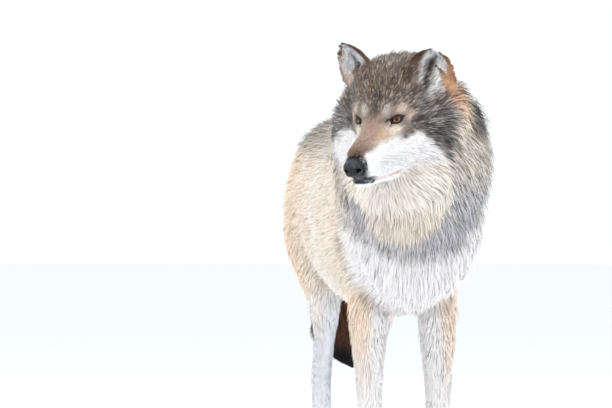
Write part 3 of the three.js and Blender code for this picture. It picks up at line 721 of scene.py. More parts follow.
def shape_lids(surface):
    """Wraps the skin round the front of each eyeball, but for the opening between the lids."""
    for s in SIDES:
        centre = EYES[s] - OFFSET
        near = np.nonzero(np.linalg.norm(surface.points - centre, axis=1) < 30)[0]
        gap, p, q, r = lid_gap(surface.points[near], s)
        lid = EYE_RADIUS + LID + 0.5 * np.exp(-((gap - 1.6) ** 2)) - 0.6 * step(gap, 4, 12)
        covered = np.maximum(r, lid)
        covered = np.where(gap < 6, lid + (covered - lid) * step(gap, 1, 6), covered)
        opened = EYE_RADIUS - 3.0
        target = opened + (covered - opened) * step(gap, -1.1, 0.2)
        weight = step(np.hypot(p, q), 1.55 * EYE_RADIUS, 1.3 * EYE_RADIUS)
        surface.points[near] += unit(surface.points[near] - centre) * ((target - r) * weight)[:, None]


def refine(points, triangles, wanted):
    """Splits the faces whose middles are wanted into finer ones."""
    mesh = bpy.data.meshes.new("finer")
    mesh.from_pydata(points.tolist(), [], triangles.tolist())
    bm = bmesh.new()
    bm.from_mesh(mesh)
    middles = points[triangles].mean(1)
    chosen = wanted(middles)
    bm.faces.ensure_lookup_table()
    edges = {e for i in np.nonzero(chosen)[0] for e in bm.faces[i].edges}
    bmesh.ops.subdivide_edges(bm, edges=list(edges), cuts=1, use_grid_fill=True)
    bmesh.ops.triangulate(bm, faces=bm.faces[:])
    bm.to_mesh(mesh)
    bm.free()
    finer = arrays_of(mesh)
    bpy.data.meshes.remove(mesh)
    return finer


def near_eyes(reach):
    centres = [EYES[s] - OFFSET for s in SIDES]
    return lambda m: np.min([np.linalg.norm(m - c, axis=1) for c in centres], axis=0) < reach


def on_face(middles):
    h = to_head(middles)
    return (h[:, 1] < 30) & (h[:, 2] > -130) & (np.abs(h[:, 0]) < 80)


def build_skin():
    points, triangles = remeshed(*joined_solids())
    surface = Surface(points, triangles)
    weights = region_weights(surface)
    ears = region(weights, "ear_left", "ear_right")
    detail = np.clip(ears + region(weights, "paw", "snout"), 0, 1)
    detail = np.maximum(detail, 0.6 * region(weights, "head"))
    surface.points = surface.fair(surface.points, 5, 0.5 * (1 - 0.7 * ears))
    surface.points = surface.fair(surface.points, 40, 0.6 * (1 - surface.soften(step(detail, 0.05, 0.4), 8)))
    points, triangles = refine(surface.points, surface.triangles, on_face)
    points, triangles = refine(points, triangles, near_eyes(26))
    surface = Surface(points, triangles)
    surface.points = surface.soften(surface.points, 3, 0.5 * on_face(points).astype(float))
    weights = region_weights(surface)
    sculpt_head(surface)
    outer = surface.points.copy()
    outer_normals = surface.soften(surface.normals(), 6)
    depth = surface.soften(coat_depth(outer, weights), 12)
    for _ in range(4):
        inward = surface.soften(surface.normals(), 4)
        surface.points = surface.points - unit(inward) * (depth / 4)[:, None]
        ears = region(weights, "ear_left", "ear_right")
        surface.points = surface.soften(surface.points, 2, 0.4 * (depth > 8) * (1 - ears))
    shape_lids(surface)
    local = to_head(surface.points)
    behind_nose = step(np.abs(local[:, 0]), 22, 18) * step(local[:, 2], -67, -62) * step(local[:, 2], -17, -21)
    local[:, 1] += np.maximum(-110 - local[:, 1], 0) * behind_nose
    surface.points = from_head(local)
    return surface, weights, outer, unit(outer_normals), depth


# ---- materials ----
def principled(name):
    material = bpy.data.materials.new(name)
    material.use_nodes = True
    return material, material.node_tree, material.node_tree.nodes["Principled BSDF"]


def add(tree, kind, **values):
    node = tree.nodes.new(kind)
    for key, value in values.items():
        if key in node.inputs:
            node.inputs[key].default_value = value
        else:
            setattr(node, key, value)
    return node


def grain(tree, shader, scale, low, high, bump, stretch=(1, 1, 1)):
    """Noise that varies the roughness between low and high and raises a fine bump."""
    place = add(tree, "ShaderNodeTexCoord")
    mapping = add(tree, "ShaderNodeMapping")
    mapping.inputs["Scale"].default_value = stretch
    noise = add(tree, "ShaderNodeTexNoise", Scale=scale, Detail=6.0)
    ramp = add(tree, "ShaderNodeMapRange")
    ramp.inputs["To Min"].default_value = low
    ramp.inputs["To Max"].default_value = high
    relief = add(tree, "ShaderNodeBump", Strength=bump, Distance=0.002)
    link = tree.links.new
    link(place.outputs["Object"], mapping.inputs["Vector"])
    link(mapping.outputs["Vector"], noise.inputs["Vector"])
    link(noise.outputs["Fac"], ramp.inputs["Value"])
    link(ramp.outputs["Result"], shader.inputs["Roughness"])
    link(noise.outputs["Fac"], relief.inputs["Height"])
    link(relief.outputs["Normal"], shader.inputs["Normal"])
    return noise


def coat_material(name, scale, bump):
    material, tree, shader = principled(name)
    noise = grain(tree, shader, scale, 0.72, 0.95, bump)
    painted = add(tree, "ShaderNodeVertexColor", layer_name="Coat")
    vary = add(tree, "ShaderNodeMix", data_type="RGBA", blend_type="MULTIPLY")
    vary.inputs["Factor"].default_value = 0.12
    link = tree.links.new
    link(painted.outputs["Color"], vary.inputs["A"])
    link(noise.outputs["Fac"], vary.inputs["B"])
    link(vary.outputs["Result"], shader.inputs["Base Color"])
    shader.inputs["Specular IOR Level"].default_value = 0.2
    shader.inputs["Sheen Weight"].default_value = 0.12
    shader.inputs["Sheen Roughness"].default_value = 0.6
    return material


def finish_piece(obj, material):
    obj.data.materials.append(material)
    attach(obj, "root")
    return obj


# ---- the coat ----
BY_DEPTH = (2, 5, 9, 15, 25, 40)  # coat depths for which the next three rows hold
TUFTS_PER_MM2 = (0.60, 0.60, 0.46, 0.24, 0.14, 0.22)
TUFT_WIDTH = (1.0, 1.05, 1.2, 1.7, 2.4, 2.6)
TUFT_LENGTH = (8, 12, 20, 30, 44, 56)
SHORT_COAT = 11.0  # below this depth a tuft is a plain blade; above it has a ridge
LOCK_TUFTS = 9  # tufts drawn together into one lock
LEG_REGIONS = ("forearm", "pastern", "shank", "cannon", "paw")
PATCH = 0.003  # size of a tuft's place in the OFBake map


def tree_of(points):
    tree = kdtree.KDTree(len(points))
    for i, p in enumerate(points):
        tree.insert(p, i)
    tree.balance()
    return tree


def nearest(tree, points):
    return np.array([tree.find(p)[1] for p in points])


class Coat:
    """The tufts over the whole skin: their roots, and the joints each bends at."""

    def __init__(self, surface, weights, outer, outer_normals, depth, seed=11):
        rng = np.random.default_rng(seed)
        self.lie = hair_lie(outer, outer_normals, weights, surface)
        self.colour, self.band, self.cup = markings(outer, outer_normals, weights)
        density = np.interp(depth, BY_DEPTH, TUFTS_PER_MM2) * self.bare(surface, outer, weights)
        short_leg = region(weights, "pastern", "cannon", "paw", "shank", "forearm")
        density = density * (1 - 0.45 * short_leg)
        faces = surface.triangles
        corners = surface.points[faces]
        area = np.linalg.norm(np.cross(corners[:, 1] - corners[:, 0], corners[:, 2] - corners[:, 0]), axis=1) / 2
        expected = np.cumsum(area * density[faces].mean(1))
        count = int(expected[-1])
        face = np.searchsorted(expected, (np.arange(count) + rng.random(count)) * expected[-1] / count)
        face = np.minimum(face, len(faces) - 1)
        mix = rng.dirichlet((1, 1, 1), count)

        def at(values):
            picked = values[faces[face]]
            return (picked * mix.reshape(count, 3, *[1] * (picked.ndim - 2))).sum(1)

        self.count = count
        self.rng = rng
        self.root = at(surface.points)
        self.root_outer = at(outer)
        self.depth = at(depth)
        self.slit_shadow = at(ear_slit_shadow(*ear_place(to_head(outer), 1), 1) * region(weights, "ear_left"))
        self.region = at(weights).argmax(1)
        self.normal = unit(at(outer_normals))
        self.grow(outer, outer_normals, depth, at(self.lie))

    def bare(self, surface, outer, weights):
        """1 where hair grows; 0 on the nose, the lids, the lips and under the feet."""
        h = to_head(outer)
        folded = h * [1, 1, 1]
        folded[:, 0] = np.abs(folded[:, 0])
        keep = step(to_path(folded, MOUTH), 1.5, 4)
        keep = keep * np.where(h[:, 1] < -86, step(to_path(folded, LOWER_LIP), 4.5, 6), 1.0)
        keep = keep * ~((nose_ring(h) < 1) & (h[:, 1] < -108))
        for s in SIDES:
            gap, p, q, r = lid_gap(outer, s)
            reach = lid_skin(p, q)
            keep = keep * np.where(r < 26, step(gap, reach, reach + 1.2), 1.0)
        across, up = ear_place(h, 1)
        # No hair over the painted shadow in the ear's slit.
        keep = keep * (1 - 0.95 * ear_slit_shadow(across, up, 1) * region(weights, "ear_left"))
        soles = region(weights, "paw") * step(outer[:, 2], 5, 2)
        return keep * (1 - soles)

    def grow(self, outer, outer_normals, depth, lie):
        rng, count = self.rng, self.count
        tree = tree_of(outer)
        self.stride = np.interp(self.depth, BY_DEPTH, TUFT_LENGTH) * rng.uniform(0.75, 1.2, count)
        self.width = np.interp(self.depth, BY_DEPTH, TUFT_WIDTH) * rng.uniform(0.75, 1.25, count)
        lift = 1.0 - 0.5 * rng.random(count) ** 2.2 + 0.06 * rng.normal(size=count)
        swirl = 0.22 * waves(self.root, 60, 1) + 0.10 * waves(self.root, 17, 2) + 0.13 * rng.normal(size=count)
        across = np.cross(self.normal, lie)
        lie = unit(lie * np.cos(swirl)[:, None] + across * np.sin(swirl)[:, None])
        self.joints = [self.root - 0.4 * self.normal]
        self.near = [nearest(tree, self.root_outer)]
        ear = np.isin(self.region, [REGION_NAMES.index(n) for n in ("ear_left", "ear_right")])[:, None]
        self.stride = self.stride * np.where(ear[:, 0], 0.7 - 0.2 * (self.depth >= 5), 1)
        ear = ear & (self.depth < 5)[:, None]
        height = to_head(self.root_outer)[:, 2]
        cup = self.cup[self.near[0]] * step(height, 88, 60) * step(self.slit_shadow, 0.5, 0.05)
        self.stride = self.stride * (1 + 0.9 * cup) * np.where(ear[:, 0], 1 - 0.6 * step(height, 78, 108), 1)
        lift = lift + 0.35 * (self.region == REGION_NAMES.index("tail"))
        face = np.isin(self.region, [REGION_NAMES.index(n) for n in ("snout", "head")])
        lift = lift + (1.2 * cup + 0.35 * face * step(self.depth, 7, 3)) * rng.random(count)
        wisp = (rng.random(count) < 0.14) & (self.depth > 6)
        self.wisp = wisp
        lift = lift + np.where(face, 0.12, 0.28) * wisp
        self.width = self.width * np.where(wisp, 0.55, 1.0)
        place = self.root_outer.copy()
        for length, height in ((0.26, 0.50), (0.36, 0.86), (0.38, 1.0)):
            place = place + lie * (self.stride * length)[:, None]
            near = np.where(ear[:, 0], self.near[0], nearest(tree, place))
            normal = np.where(ear, self.normal, outer_normals[near])
            off = ((place - outer[near]) * normal).sum(1, keepdims=True)
            place = place - np.where(ear, 0, off) * normal
            sunk = depth[near] * (1 - lift * height)
            self.joints.append(place - normal * sunk[:, None])
            self.near.append(near)
            lie = 0.55 * lie + 0.45 * self.lie[near]
            lie = unit(lie - (lie * normal).sum(1, keepdims=True) * normal)
        self.draw_together()

    def over_eyes(self):
        """The tufts that would lie over the bare skin of the lids."""
        over = np.zeros(self.count, bool)
        for s in SIDES:
            for k in (2, 3):
                gap, p, q, r = lid_gap(self.joints[k], s)
                over |= (r < 26) & (gap < lid_skin(p, q) - 0.3)
        return over

    def draw_together(self):
        """Pulls the tips of neighbouring tufts into locks."""
        locks = np.arange(0, self.count, LOCK_TUFTS)
        self.lock = nearest(tree_of(self.root[locks]), self.root)
        apart = np.linalg.norm(self.joints[3] - self.joints[3][locks][self.lock], axis=1)
        alike = step(apart / self.stride, 0.9, 0.4) * (1 - 0.8 * self.wisp)
        for k, pull in ((1, 0.08), (2, 0.25), (3, 0.46)):
            centre = self.joints[k][locks][self.lock]
            share = (pull * alike * np.interp(self.depth, (3, 20), (0.5, 1.0)))[:, None]
            self.joints[k] = self.joints[k] + share * (centre - self.joints[k])

    def colours(self):
        """The colour of each tuft at its joints, with painted shade towards the root."""
        rng = self.rng
        locks = self.lock.max() + 1
        lock_chance = rng.random(locks)[self.lock]
        chance = 0.45 * lock_chance + 0.55 * rng.random(self.count)
        eared = np.isin(self.region, [REGION_NAMES.index(n) for n in ("ear_left", "ear_right")])
        legs = np.isin(self.region, [REGION_NAMES.index(n) for n in LEG_REGIONS])
        short = 1 + 0.8 * step(self.depth, 7, 3) + 1.8 * eared - 0.9 * legs
        pale_root = step(self.colour[self.near[0]].mean(1), 0.35, 0.75)
        tone = 1 + short * (0.10 * (rng.random(locks)[self.lock] - 0.5) + 0.16 * (rng.random(self.count) - 0.5))
        faced = np.isin(self.region, [REGION_NAMES.index(n) for n in ("snout", "head")])
        pale_share = np.where(faced, 0.5, 0.7)
        result = []
        # Painted shade: each tuft is darker towards its root, as the shadow between the tufts, less so where the coat
        # is pale, and a touch lighter at its tip.
        for k, painted_root_shade, banding in ((0, 0.80, 0.0), (1, 0.92, 0.1), (2, 1.0, 0.6), (3, 1.04, 1.0)):
            painted_root_shade = painted_root_shade + (1 - painted_root_shade) * pale_root
            colour = self.colour[self.near[k]] * (painted_root_shade * tone)[:, None]
            band = self.band[self.near[k]]
            dark = np.clip((band * 0.62 - chance) * 6 + 0.5, 0, 1) * banding
            pale = np.clip((chance - 1 + 0.45 * band) * 6, 0, 1) * banding
            colour = colour + (DARK * 0.7 - colour) * dark[:, None]
            colour = colour + (shade(0.86, 0.82, 0.76) - colour) * (pale_share * pale)[:, None]
            result.append(colour)
        return result


def unwrapped(roots, name):
    """The place of each root on an unwrap of its region: round it and along it, from 0 to 1."""
    if name in ("snout", "head", "ear_left", "ear_right"):
        h = to_head(roots)
        if name.startswith("ear"):
            middle = 92 if name.endswith("left") else -92
            round_it = np.arctan2(h[:, 0] - middle, -(h[:, 1] - 88)) / 6.2832 + 0.5
            return round_it, np.clip((h[:, 2] + 30) / 160, 0, 1)
        return np.arctan2(h[:, 0], h[:, 2] + 30) / 6.2832 + 0.5, np.clip((h[:, 1] + 140) / 330, 0, 1)
    x, y, z = roots.T
    if name in ("neck", "chest", "trunk", "rump"):
        return np.arctan2(x, z - 610) / 6.2832 + 0.5, np.clip((y + 640) / 1200, 0, 1)
    if name == "tail":
        return np.arctan2(x - 15, -(y - 505)) / 6.2832 + 0.5, np.clip((z - 250) / 480, 0, 1)
    rear = y > 100
    middle_x = np.where(x > 0, 64.0, -55.0)
    middle_y = np.where(rear, 440.0, -285.0)
    tile = (x > 0) * 1 + rear * 2
    round_it = np.arctan2(x - middle_x, -(y - middle_y)) / 6.2832 + 0.5
    return (round_it + tile) / 4, np.clip(z / 640, 0, 1)


def blades(coat, chosen, ridged, colours):
    """Points, triangles, normals, colours and OFBake places of the chosen tufts."""
    joints = [j[chosen] for j in coat.joints]
    count = len(chosen)
    rng = np.random.default_rng(int(count) + 5)
    roll = rng.normal(0, 0.45, count)
    soft_normal = coat.normal[chosen]
    forward = unit(joints[3] - joints[1])
    across = unit(np.cross(forward, soft_normal))
    up = np.cross(across, forward)
    wide = across * np.cos(roll)[:, None] + up * np.sin(roll)[:, None]
    crest = up * np.cos(roll)[:, None] - across * np.sin(roll)[:, None]
    half = (coat.width[chosen] / 2)[:, None]
    facing = unit(0.35 * crest + 0.65 * soft_normal)
    points, normals, tints, side, along = [], [], [], [], []

    def corner(k, offset, tilt, at_side, at_along):
        points.append(joints[k] + offset)
        normals.append(unit(facing + tilt * wide))
        tints.append(colours[k][chosen])
        side.append(at_side)
        along.append(at_along)

    if ridged:
        corner(0, 0, 0, 0.5, 0.0)
        corner(1, -wide * half * 0.9, -0.5, 0.0, 0.33)
        corner(1, wide * half * 0.9, 0.5, 1.0, 0.33)
        corner(2, -wide * half, -0.5, 0.0, 0.66)
        corner(2, crest * half * 0.6, 0.0, 0.5, 0.66)
        corner(2, wide * half, 0.5, 1.0, 0.66)
        corner(3, 0, 0, 0.5, 1.0)
        faces = ((0, 2, 1), (1, 2, 4), (1, 4, 3), (2, 5, 4), (3, 4, 6), (4, 5, 6))
    else:
        corner(1, -wide * half * 0.8, -0.45, 0.0, 0.1)
        corner(1, wide * half * 0.8, 0.45, 1.0, 0.1)
        corner(2, -wide * half * 0.9, -0.45, 0.0, 0.6)
        corner(2, wide * half * 0.9, 0.45, 1.0, 0.6)
        corner(3, 0, 0, 0.5, 1.0)
        points[0] = joints[0] - wide * half * 0.8
        points[1] = joints[0] + wide * half * 0.8
        faces = ((0, 1, 3), (0, 3, 2), (2, 3, 4))
    size = len(points)
    stacked = [np.stack(values, 1).reshape(count * size, -1) for values in (points, normals, tints)]
    faces = (np.array(faces)[None] + (np.arange(count) * size)[:, None, None]).reshape(-1, 3)
    places = np.zeros((count, 2))
    names = coat.region[chosen]
    for index, name in enumerate(REGION_NAMES):
        own = names == index
        if own.any():
            places[own] = np.stack(unwrapped(coat.root[chosen][own], name), 1)
    places = places * (1 - 3 * PATCH) + PATCH
    patch = np.stack([np.array(side), np.array(along)], 1) * PATCH
    uv = (places[:, None, :] + patch[None]).reshape(-1, 2)
    return stacked[0], faces, stacked[1], stacked[2], uv


def coat_piece(name, coat, chosen, colours, material):
    parts = []
    ridged = coat.depth[chosen] >= SHORT_COAT
    for kind in (True, False):
        some = chosen[ridged == kind]
        if len(some):
            parts.append(blades(coat, some, kind, colours))
    start = np.cumsum([0] + [len(p[0]) for p in parts])
    points = np.concatenate([p[0] for p in parts])
    faces = np.concatenate([p[1] + s for p, s in zip(parts, start)])
    normals = np.concatenate([p[2] for p in parts])
    tints = np.concatenate([p[3] for p in parts])
    uv = np.concatenate([p[4] for p in parts])
    obj = mesh_from(name, points, faces)
    obj.data.normals_split_custom_set_from_vertices(normals.astype(np.float32))
    paint(obj, tints)
    layer = obj.data.uv_layers.new(name="OFBake")
    layer.data.foreach_set("uv", uv[faces.ravel()].astype(np.float32).ravel())
    finish_piece(obj, material)
    print(name, len(chosen), "tufts", len(faces), "triangles")
    return len(faces)


COAT_PIECES = {
    "coat_face": (("snout", "head"), "coat_grizzled"), "coat_ears": (("ear_left", "ear_right"), "ear_coat"),
    "coat_neck": (("neck",), "coat_grizzled"), "coat_chest": (("chest",), "coat_pale"),
    "coat_trunk": (("trunk",), "coat_grizzled"), "coat_rump": (("rump",), "coat_grizzled"),
    "coat_tail": (("tail",), "coat_dark"),
    "coat_legs": (("forearm", "pastern", "shank", "cannon", "paw"), "coat_pale"),
    "coat_thighs": (("thigh",), "coat_pale"),
}


def make_coat(coat):
    colours = coat.colours()
    kept = ~coat.over_eyes()
    total = 0
    for name, (regions, slot) in COAT_PIECES.items():
        inside = kept & np.isin(coat.region, [REGION_NAMES.index(r) for r in regions])
        material = coat_material(name + "_fur", 1400.0, 0.15)
        for s, word in ((1, "left"), (-1, "right")):
            half_of = (coat.root[:, 0] * s > 0) | ((coat.root[:, 0] == 0) & (s > 0))
            if name in ("coat_face", "coat_ears"):
                half_of = to_head(coat.root)[:, 0] * s > 0
            total += coat_piece(name + "_" + word, coat, np.nonzero(inside & half_of)[0], colours, material)
    print("coat", coat.count, "tufts", total, "triangles")


# ---- eyes, nose, claws and whiskers ----
def gloss_material(name, scale, low, high, bump, coat, specular=0.5):
    """Painted, with a varied gloss; for the bare, hard and wet pieces."""
    material, tree, shader = principled(name)
    grain(tree, shader, scale, low, high, bump)
    painted = add(tree, "ShaderNodeVertexColor", layer_name="Coat")
    tree.links.new(painted.outputs["Color"], shader.inputs["Base Color"])
    shader.inputs["Coat Weight"].default_value = coat
    shader.inputs["Specular IOR Level"].default_value = specular
    shader.inputs["Coat Roughness"].default_value = 0.04
    return material


def grid_faces(rows, columns, closed):
    """Quads over a grid of points whose rows close on themselves; closed joins the last row to the first."""
    r = np.arange(rows if closed else rows - 1)[:, None]
    c = np.arange(columns)[None]
    ahead, beside = (r + 1) % rows, (c + 1) % columns
    corners = [r * columns + c, r * columns + beside, ahead * columns + beside, ahead * columns + c]
    return np.stack(np.broadcast_arrays(*corners), -1).reshape(-1, 4)


def tube(path, radii, outwards, sides=8, closed=False, flat=1.0):
    """A round tube along a path; outwards gives each ring's first direction, along which it may be flattened."""
    path = np.asarray(path, float)
    if closed:
        along = unit(np.roll(path, -1, 0) - np.roll(path, 1, 0))
    else:
        along = unit(np.gradient(path, axis=0))
    first = unit(outwards - (outwards * along).sum(1, keepdims=True) * along)
    second = np.cross(along, first)
    turn = np.arange(sides) / sides * 2 * np.pi
    ring = first[:, None] * np.cos(turn)[None, :, None] * flat + second[:, None] * np.sin(turn)[None, :, None]
    points = path[:, None] + ring * np.asarray(radii)[:, None, None]
    return points.reshape(-1, 3), grid_faces(len(path), sides, closed)


EYE_GAZE = math.radians(33)  # how far outwards the irises look
IRIS = 8.2
PUPIL = 2.9


def make_eye(side):
    """A wet ball with an amber iris, a dark rim to it and a round pupil."""
    rings, columns = 90, 96
    angle = np.linspace(0.002, np.pi - 0.002, rings) ** 1.5
    angle = angle / angle[-1] * (np.pi - 0.002)
    turn = np.arange(columns) / columns * 2 * np.pi
    out = unit(np.array([side * math.sin(EYE_GAZE), -math.cos(EYE_GAZE), 0.02]) @ HEAD_AXES.T)
    first = unit(np.cross(out, [0, 0, 1.0]))
    second = np.cross(first, out)
    flat = first * np.cos(turn)[:, None] + second * np.sin(turn)[:, None]
    ball = np.cos(angle)[:, None, None] * out + np.sin(angle)[:, None, None] * flat[None]
    arc = angle * EYE_RADIUS
    cornea = EYE_RADIUS - 0.15 + 0.9 * np.exp(-((arc / 6.5) ** 4))
    points = EYES[side] - OFFSET + ball * cornea[:, None, None]
    arc, turn = np.broadcast_arrays(arc[:, None], turn[None])
    streaks = np.sin(turn * 23) + np.sin(turn * 37 + arc * 0.5) + np.sin(turn * 61 + 1)
    amber = blend(plain(shade(0.58, 0.39, 0.20), ball.reshape(-1, 3)), shade(0.34, 0.21, 0.12),
                  step(arc + 0.35 * streaks, 4.4, 7.8).ravel()).reshape(ball.shape)
    height = ball @ eye_axes(side)[1] * EYE_RADIUS
    # Painted shadow of the upper lid: the iris is darker towards its top.
    colour = amber * ((1 + 0.08 * streaks) * (1 - 0.85 * step(height, -2.0, 3.8)))[..., None]
    white = shade(0.26, 0.19, 0.15)
    colour = colour + (shade(0.06, 0.04, 0.03) - colour) * step(arc, IRIS - 1.0, IRIS)[..., None]
    colour = colour + (white - colour) * step(arc, IRIS + 0.8, IRIS + 2.4)[..., None]
    colour = colour + (shade(0.02, 0.02, 0.02) - colour) * step(arc, PUPIL + 0.6, PUPIL - 0.3)[..., None]
    word = "left" if side > 0 else "right"
    eye = mesh_from("eyeball_" + word, points.reshape(-1, 3), grid_faces(rings, columns, False)[:, ::-1])
    paint(eye, colour.reshape(-1, 3))
    finish_piece(eye, gloss_material("eye_wet_" + word, 300.0, 0.04, 0.08, 0.0, 0.0, 0.22))
    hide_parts("eye_" + word)


def make_lid_rims():
    """The dark bare edges of the lids, with the tear corner drawn out towards the nose."""
    points, faces, count = [], [], 0
    turn = np.linspace(0, 2 * np.pi, 72, endpoint=False)
    for s in SIDES:
        p = np.cos(turn) * almond_reach(np.cos(turn))
        q = np.where(np.sin(turn) > 0, almond_height(p, ALMOND_UP), -almond_height(p, ALMOND_DOWN))
        path = on_ball(s, p, q, EYE_RADIUS + 0.8 + 0 * p)
        thick = 0.55 + 0.3 * step(np.sin(turn), 0.2, 0.8)
        ring, quads = tube(path, thick, path - (EYES[s] - OFFSET), closed=True)
        points.append(ring)
        faces.append(quads + count)
        count += len(ring)
    rims = mesh_from("lid_rims", np.concatenate(points), np.concatenate(faces))
    paint(rims, plain(shade(0.09, 0.08, 0.08), np.concatenate(points)))
    finish_piece(rims, gloss_material("lid_rim_skin", 900.0, 0.32, 0.5, 0.15, 0.05, 0.3))


NOSTRIL = np.array([[9.5, -47], [13.5, -48.5], [17.0, -53], [13.5, -56.5]])  # x and z along the comma


def make_nose():
    """A dark pad with deep comma nostrils and a groove down its middle."""
    rings, columns = 110, 160
    tilt = np.linspace(0.01, np.pi - 0.01, rings)[:, None]
    turn = (np.arange(columns) / columns * 2 * np.pi)[None]
    n = np.stack(np.broadcast_arrays(np.sin(tilt) * np.cos(turn), np.sin(tilt) * np.sin(turn), np.cos(tilt)), -1)
    n = n.reshape(-1, 3)
    boxy = np.sign(n) * np.abs(n) ** np.array([0.82, 0.80, 0.72])
    x = boxy[:, 0] * 18.7 * (1 - 0.24 * step(n[:, 2], 0.3, -1) - 0.22 * step(n[:, 2], 0.3, 1))
    front = n[:, 1] < 0
    y = boxy[:, 1] * np.where(front, 17.0, 19.0)
    y = y + 6.5 * step(n[:, 2], 0.15, 1) + 5.5 * step(n[:, 2], -0.35, -1) * front + 0.010 * x * x
    z = boxy[:, 2] * 17.3
    points = np.stack([x, y, z], -1) + NOSE_MIDDLE
    flat = np.stack([np.abs(points[:, 0]), points[:, 2]], -1)
    reach = to_path(flat, NOSTRIL)
    bore = np.linalg.norm(flat - NOSTRIL[0] - [0.6, 0], axis=1)
    ahead = step(n[:, 1], 0.05, -0.25)
    dent = 3.2 * step(reach, 3.2, 0.6) + 8.5 * step(bore, 5.2, 1.6)
    wing = 1.5 * np.exp(-(((reach - 4.6) / 2.0) ** 2))
    groove = 1.7 * np.exp(-((points[:, 0] / 1.2) ** 2)) * step(points[:, 2], -36, -46)
    points[:, 1] += ahead * (dent - wing + groove)
    points[:, 0] += ahead * np.sign(points[:, 0]) * 0.5 * dent * step(flat[:, 0], 12, 17)
    # Painted highlight: the top of the pad is a lighter blue grey, as the sheen of the light from above; the rest of
    # the leather is near black.
    colour = blend(plain(shade(0.16, 0.175, 0.21), points), shade(0.045, 0.045, 0.055), step(n[:, 2], 0.85, 0.2))
    # Painted shade: the nostrils are near black, as the shade deep inside them.
    colour = blend(colour, shade(0.03, 0.02, 0.02), ahead * np.maximum(step(bore, 5.0, 3.0), step(reach, 2.4, 1.0)))
    quads = grid_faces(rings, columns, False)[:, ::-1]
    nose = mesh_from("nose_pad", from_head(points), quads)
    paint(nose, colour)
    material = gloss_material("nose_leather", 520.0, 0.30, 0.46, 0.7, 0.06, 0.36)
    finish_piece(nose, material)
    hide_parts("nose")


PAWS = ((67, -313, 1.0), (-67, -313, 1.0), (62, 418, 0.9), (-39, 412, 0.9))  # x, y and size


def make_claws():
    points, faces, tints, count = [], [], [], 0
    along = np.linspace(0, 1, 8)[:, None]
    for x, y, size in PAWS:
        for toe_x, toe_y in ((28, -20), (11, -36), (-11, -36), (-28, -20)):
            base = np.array([x + toe_x * size, y + (toe_y - 19) * size, 13 * size])
            reach = np.array([0.06 * toe_x, -16.5 * size, -9.5 * size])
            path = base + reach * along + np.array([0, 0, 5.0]) * along * (1 - along)
            ring, quads = tube(path, 3.2 * size * (1 - along[:, 0] ** 1.6) + 0.25, np.tile([0, 0, 1.0], (8, 1)))
            points.append(ring)
            faces.append(quads + count)
            tints.append(np.repeat(shade(0.16, 0.13, 0.12) + (shade(0.34, 0.29, 0.25) - shade(0.16, 0.13, 0.12))
                                   * along, 8, 0))
            count += len(ring)
    claws = mesh_from("claws", np.concatenate(points), np.concatenate(faces))
    paint(claws, np.concatenate(tints))
    finish_piece(claws, gloss_material("claw_horn", 240.0, 0.3, 0.5, 0.25, 0.1))


def make_whiskers():
    rng = np.random.default_rng(23)
    points, faces, count = [], [], 0
    along = np.linspace(0, 1, 9)[:, None]
    for s in SIDES:
        for row in range(3):
            for k in range(4):
                root = np.array([s * (29 + 1.5 * row), -86 + 15 * k + 3 * row, -50 - 7 * row])
                long = rng.uniform(26, 44)
                heading = unit(np.array([s * 0.85, 0.55 + 0.1 * k, -0.22 - 0.16 * row + rng.normal(0, 0.08)]))
                path = root + heading * long * along + np.array([0, 0.35, -0.20]) * long * along ** 2
                ring, quads = tube(path, 0.22 * (1 - 0.7 * along[:, 0]), np.tile([0, 0, 1.0], (9, 1)), sides=4)
                points.append(from_head(ring))
                faces.append(quads + count)
                count += len(ring)
    whiskers = mesh_from("whiskers", np.concatenate(points), np.concatenate(faces))
    paint(whiskers, plain(shade(0.50, 0.50, 0.52), np.concatenate(points)))
    finish_piece(whiskers, gloss_material("whisker_hair", 300.0, 0.35, 0.5, 0.1, 0.0))


# ---- making it ----
surface, weights, outer, outer_normals, depth = build_skin()
coat = Coat(surface, weights, outer, outer_normals, depth)
skin = mesh_from("skin", surface.points, surface.triangles)
# Painted shade: the skin is darker than its coat, as the shade in the gaps between the tufts, less so where the coat
# is pale.
paint(skin, coat.colour * (0.72 + 0.26 * step(coat.colour.mean(1), 0.35, 0.75))[:, None])
finish_piece(skin, coat_material("skin_fur", 900.0, 0.4))
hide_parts(*FLESH)
print("skin", len(surface.points), len(surface.triangles))
make_coat(coat)
for eye_side in SIDES:
    make_eye(eye_side)
make_lid_rims()
make_nose()
make_claws()
make_whiskers()

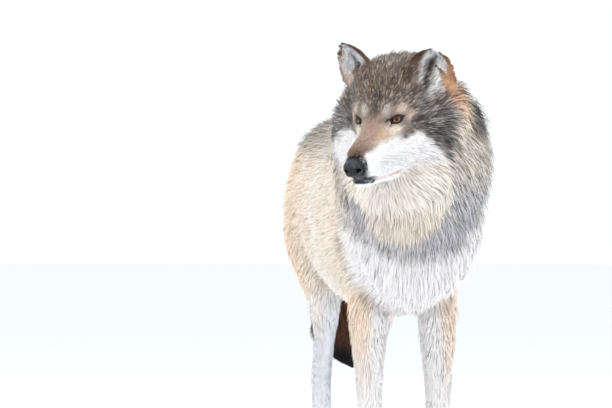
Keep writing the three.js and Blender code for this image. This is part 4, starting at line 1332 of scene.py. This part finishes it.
# ---- floor, light and camera ----
CAMERA_AZIMUTH = math.radians(-9)
CAMERA_DISTANCE = 7000.0
CAMERA_TARGET = np.array([-180.0, -224.0, 614.0])
CAMERA_FOCUS = 3640.0  # focal length in pixels of a picture 612 wide


def make_camera():
    back = np.array([math.sin(CAMERA_AZIMUTH), -math.cos(CAMERA_AZIMUTH), 0])
    data = bpy.data.cameras.new("camera")
    data.sensor_width = 36.0
    data.lens = CAMERA_FOCUS / 612 * 36.0
    data.clip_end = 200
    camera = bpy.data.objects.new("camera", data)
    bpy.context.scene.collection.objects.link(camera)
    camera.location = (CAMERA_TARGET + back * CAMERA_DISTANCE + OFFSET) / 1000
    camera.rotation_euler = (math.pi / 2, 0, CAMERA_AZIMUTH)
    bpy.context.scene.camera = camera


def make_floor():
    bpy.ops.mesh.primitive_circle_add(vertices=96, radius=30, fill_type="NGON", location=(0, 0, 0))
    floor = bpy.context.object
    floor.name = "floor"
    material, tree, shader = principled("pale_floor")
    grain(tree, shader, 3.0, 0.85, 0.95, 0.02)
    shader.inputs["Base Color"].default_value = (0.92, 0.93, 0.95, 1)
    floor.data.materials.append(material)


def add_light(name, place, size, power, tint):
    data = bpy.data.lights.new(name, "AREA")
    data.shape = "DISK"
    data.size = size
    data.energy = power
    data.color = tint
    light = bpy.data.objects.new(name, data)
    bpy.context.scene.collection.objects.link(light)
    light.location = place
    aim = Vector((0, -0.1, 0.5)) - Vector(place)
    light.rotation_euler = aim.to_track_quat("-Z", "Y").to_euler()


def make_light():
    world = bpy.data.worlds.new("studio")
    bpy.context.scene.world = world
    world.use_nodes = True
    background = world.node_tree.nodes["Background"]
    background.inputs["Color"].default_value = (0.92, 0.95, 1.0, 1)
    background.inputs["Strength"].default_value = 1.09
    add_light("key", (-1.6, -3.4, 4.2), 2.4, 140, (1.0, 0.98, 0.95))
    add_light("fill", (3.2, -2.4, 2.6), 3.0, 40, (0.93, 0.96, 1.0))
    add_light("rim", (0.8, 3.8, 3.4), 2.6, 80, (0.97, 0.98, 1.0))


make_camera()
make_floor()
make_light()
bpy.context.scene.view_settings.view_transform = "Standard"
